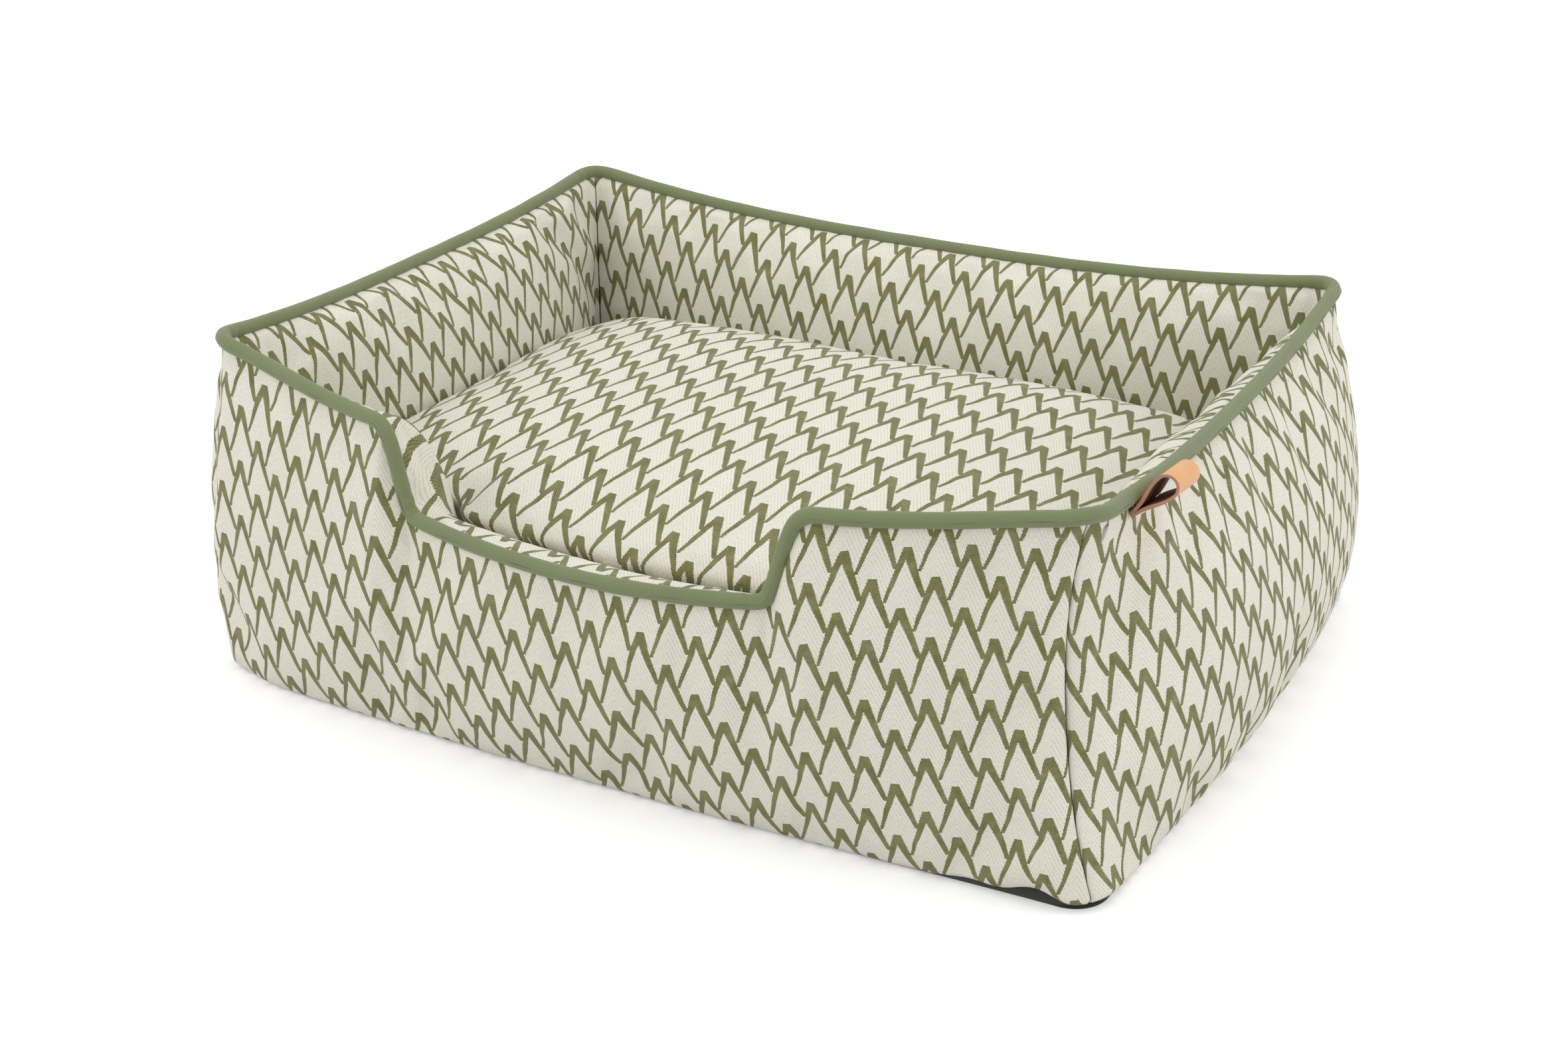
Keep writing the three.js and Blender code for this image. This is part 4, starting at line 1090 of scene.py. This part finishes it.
def coil_place(node, facing):
    """Turns the coil's arches to face out of the back wall, or down under the cushion."""
    low, high = map(mathutils.Vector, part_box(node))
    middle = (low + high) / 2
    if facing == "back":
        turn = mathutils.Matrix.Rotation(-np.pi / 2, 4, "X")
        return mathutils.Matrix.Translation((0, low.y - 0.0012, middle.z)) @ turn
    turn = mathutils.Matrix.Rotation(np.pi, 4, "X")
    return mathutils.Matrix.Translation((0, middle.y, high.z + 0.0012)) @ turn


coil_loops("wall_zip_loops", "shell", "shell_zip_coil", coil_place("shell_zip_coil", "back"))
coil_loops("cushion_zip_loops", "cushion", "cushion_zip_coil", coil_place("cushion_zip_coil", "down"))
for zipped in ("shell", "cushion"):
    give(f"{zipped}_zip_upper_tape", TAPE)
    give(f"{zipped}_zip_lower_tape", TAPE)
for node in ("shell_zip_slider", "shell_zip_pull", "cushion_zip_slider"):
    give(node, METAL)

# ---- leather loop -----------------------------------------------------------------------------
# A strap of vegetable-tanned leather, folded on itself and sewn in under the piping. It opens
# into a drop; its outside is tan, its flesh side brown and its cut edges pale and burnished.

LOOP_LONG, LOOP_HALF, LEATHER = 0.0325, 0.0085, 0.002
LOOP_TILT = np.radians(47)
STRAP_HALF = 0.019
FROM_CORNER = 0.072


def drop_outline(half_start, start, half, steps=14):
    """Half of a drop from its sewn end to its round nose, then back on the other side."""
    t = np.linspace(0, 1, steps)[:, None]
    first, last = np.array((start, -half_start)), np.array((LOOP_LONG, -half))
    near = np.array((mix(start, LOOP_LONG, 0.4), -half_start))
    far = np.array((mix(start, LOOP_LONG, 0.6), -half))
    lower = first * (1 - t) ** 3 + near * 3 * t * (1 - t) ** 2
    lower = lower + far * 3 * t**2 * (1 - t) + last * t**3
    turn = np.linspace(-np.pi / 2, np.pi / 2, steps + 3)[1:-1]
    nose = np.stack([LOOP_LONG + half * np.cos(turn), half * np.sin(turn)], 1)
    return np.concatenate([lower, nose, lower[::-1] * (1, -1)])


def loop_frame():
    """Where the fold line stands on the outer face, just under the ridge seam."""
    side = SIDES["right"]
    s = np.array((-(DEEP[0] - FROM_CORNER) / (DEEP[0] - RIDGE_CORNER) * CORNER,))
    run = (seam_line(side, s + 0.01) - seam_line(side, s - 0.01))[0]
    run = run / np.linalg.norm(run)
    t = np.linspace(0.8, 1, 400)
    face = along_curve(outer_curve(side, s), t)[0]
    away = np.linalg.norm(face - seam_line(side, s)[0], axis=1)
    near = int(np.argmin(np.abs(away - 0.0084)))
    face_out = np.cross(run, face[near + 1] - face[near - 1])
    face_out = face_out / np.linalg.norm(face_out)
    face_out = face_out * np.sign(face_out[0])
    out = np.array((*side.out, 0))
    rising = np.cross(out, run)
    rising = rising / np.linalg.norm(rising)
    length = out * np.cos(LOOP_TILT) + rising * np.sin(LOOP_TILT)
    across = np.cross(run, length)
    root = face[near] + face_out * (LEATHER * abs(across @ face_out) + 0.0004)
    return root, length, across, run


def leather_material(name, dark, light, roughness, grain):
    material, tree, skin = new_material(name)
    spot = put(tree, "ShaderNodeTexCoord").outputs["Object"]
    cells = tree.nodes.new("ShaderNodeTexVoronoi")
    wire(tree, cells.inputs["Vector"], spot)
    cells.inputs["Scale"].default_value = grain
    stain = put(tree, "ShaderNodeTexNoise", Vector=spot, Scale=90.0, Detail=5.0, Distortion=0.6)
    stain = stain.outputs[0]
    wire(tree, skin.inputs["Base Color"], blended(tree, stain, dark, light))
    wire(tree, skin.inputs["Roughness"], reckon(tree, "MULTIPLY_ADD", stain, 0.2, roughness))
    raise_surface(tree, skin, 0.35, 0.0002, cells.outputs["Distance"])
    return material


root, length, across, run = loop_frame()
outline = drop_outline(LEATHER, 0, LOOP_HALF)
hollow = drop_outline(0.0001, 0.004, LOOP_HALF - LEATHER)
made = bmesh.new()
rims = []
for edge in (outline, hollow):
    corners = [made.verts.new(root + length * x + across * y - run * STRAP_HALF) for x, y in edge]
    rims.append([made.edges.new((a, b)) for a, b in zip(corners, corners[1:] + corners[:1])])
bmesh.ops.triangle_fill(made, edges=rims[0] + rims[1], use_beauty=True)
grown = bmesh.ops.extrude_face_region(made, geom=made.faces[:])["geom"]
grown = [v for v in grown if isinstance(v, bmesh.types.BMVert)]
bmesh.ops.translate(made, verts=grown, vec=run * 2 * STRAP_HALF)
bmesh.ops.recalc_face_normals(made, faces=made.faces)
leather_loop = piece("leather_strap_loop", made)
for material in (
    leather_material("tan_leather", tone(206, 150, 100), tone(232, 180, 130), 0.42, 1500),
    leather_material("flesh_side", tone(92, 54, 34), tone(132, 84, 56), 0.8, 800),
    leather_material("cut_edge", tone(150, 104, 84), tone(186, 140, 116), 0.6, 600),
):
    leather_loop.data.materials.append(material)
for face in leather_loop.data.polygons:
    facing = np.array(face.normal)
    middle = np.array(face.center) - root
    x, y = middle @ length, middle @ across
    from_axis = np.array((x - LOOP_LONG, y)) if x > LOOP_LONG else np.array((0, y))
    outward = facing @ (length * from_axis[0] + across * from_axis[1])
    face.material_index = 2 if abs(facing @ run) > 0.5 else (0 if outward > 0 else 1)
softened = leather_loop.modifiers.new("burnished edge", "BEVEL")
softened.width = 0.0005
softened.segments = 2
softened.limit_method = "ANGLE"
fit(leather_loop, "shell", "leather_loop")

# ---- studio -----------------------------------------------------------------------------------
# A pale floor in pale surroundings, lit softly from above and from both sides, and the camera
# in front of the right corner of the entry.


def seen_rays(tree):
    """1 where the camera looks, straight or through a gloss or a glass, and 0 for other light."""
    rays = tree.nodes.new("ShaderNodeLightPath").outputs
    mirrored = reckon(tree, "MAXIMUM", rays["Is Glossy Ray"], rays["Is Transmission Ray"])
    return reckon(tree, "MAXIMUM", rays["Is Camera Ray"], mirrored)


bpy.ops.mesh.primitive_plane_add(size=14, location=(0, 0, 0))
ground = bpy.context.object
ground.name = "studio_floor"
paper, tree, skin = new_material("pale_floor")
ground.data.materials.append(paper)
seen = seen_rays(tree)
skin.inputs["Base Color"].default_value = tone(236, 236, 236)
skin.inputs["Roughness"].default_value = 0.9
skin.inputs["Specular IOR Level"].default_value = 0
skin.inputs["Emission Color"].default_value = (1, 1, 1, 1)
wire(tree, skin.inputs["Emission Strength"], reckon(tree, "MULTIPLY", seen, 0.28))

world = bpy.data.worlds.new("studio")
bpy.context.scene.world = world
world.use_nodes = True
tree = world.node_tree
seen = seen_rays(tree)
back = tree.nodes["Background"]
back.inputs["Color"].default_value = (1, 1, 1, 1)
wire(tree, back.inputs["Strength"], reckon(tree, "MULTIPLY_ADD", seen, 0.15, 0.85))


def lamp(name, place, width, watts):
    """A soft round lamp that shines at the middle of the bed."""
    light = bpy.data.lights.new(name, "AREA")
    light.shape = "DISK"
    light.size = width
    light.energy = watts
    obj = bpy.data.objects.new(name, light)
    bpy.context.scene.collection.objects.link(obj)
    obj.location = place
    aim = mathutils.Vector((0, 0, 0.1)) - mathutils.Vector(place)
    obj.rotation_euler = aim.to_track_quat("-Z", "Y").to_euler()


lamp("overhead", (0.1, 0.2, 2.6), 2.4, 13)
lamp("front_left", (-1.9, -1.7, 1.7), 1.6, 16)
lamp("right", (2.4, 0.5, 1.3), 1.8, 12)

lens = bpy.data.cameras.new("camera")
lens.lens = 55.2
camera = bpy.data.objects.new("camera", lens)
bpy.context.scene.collection.objects.link(camera)
camera.location = (0.8310, -1.5451, 0.8813)
camera.rotation_euler = (np.radians(90 - 24.0), 0, np.radians(28.35))
bpy.context.scene.camera = camera
bpy.context.scene.view_settings.view_transform = "Standard"
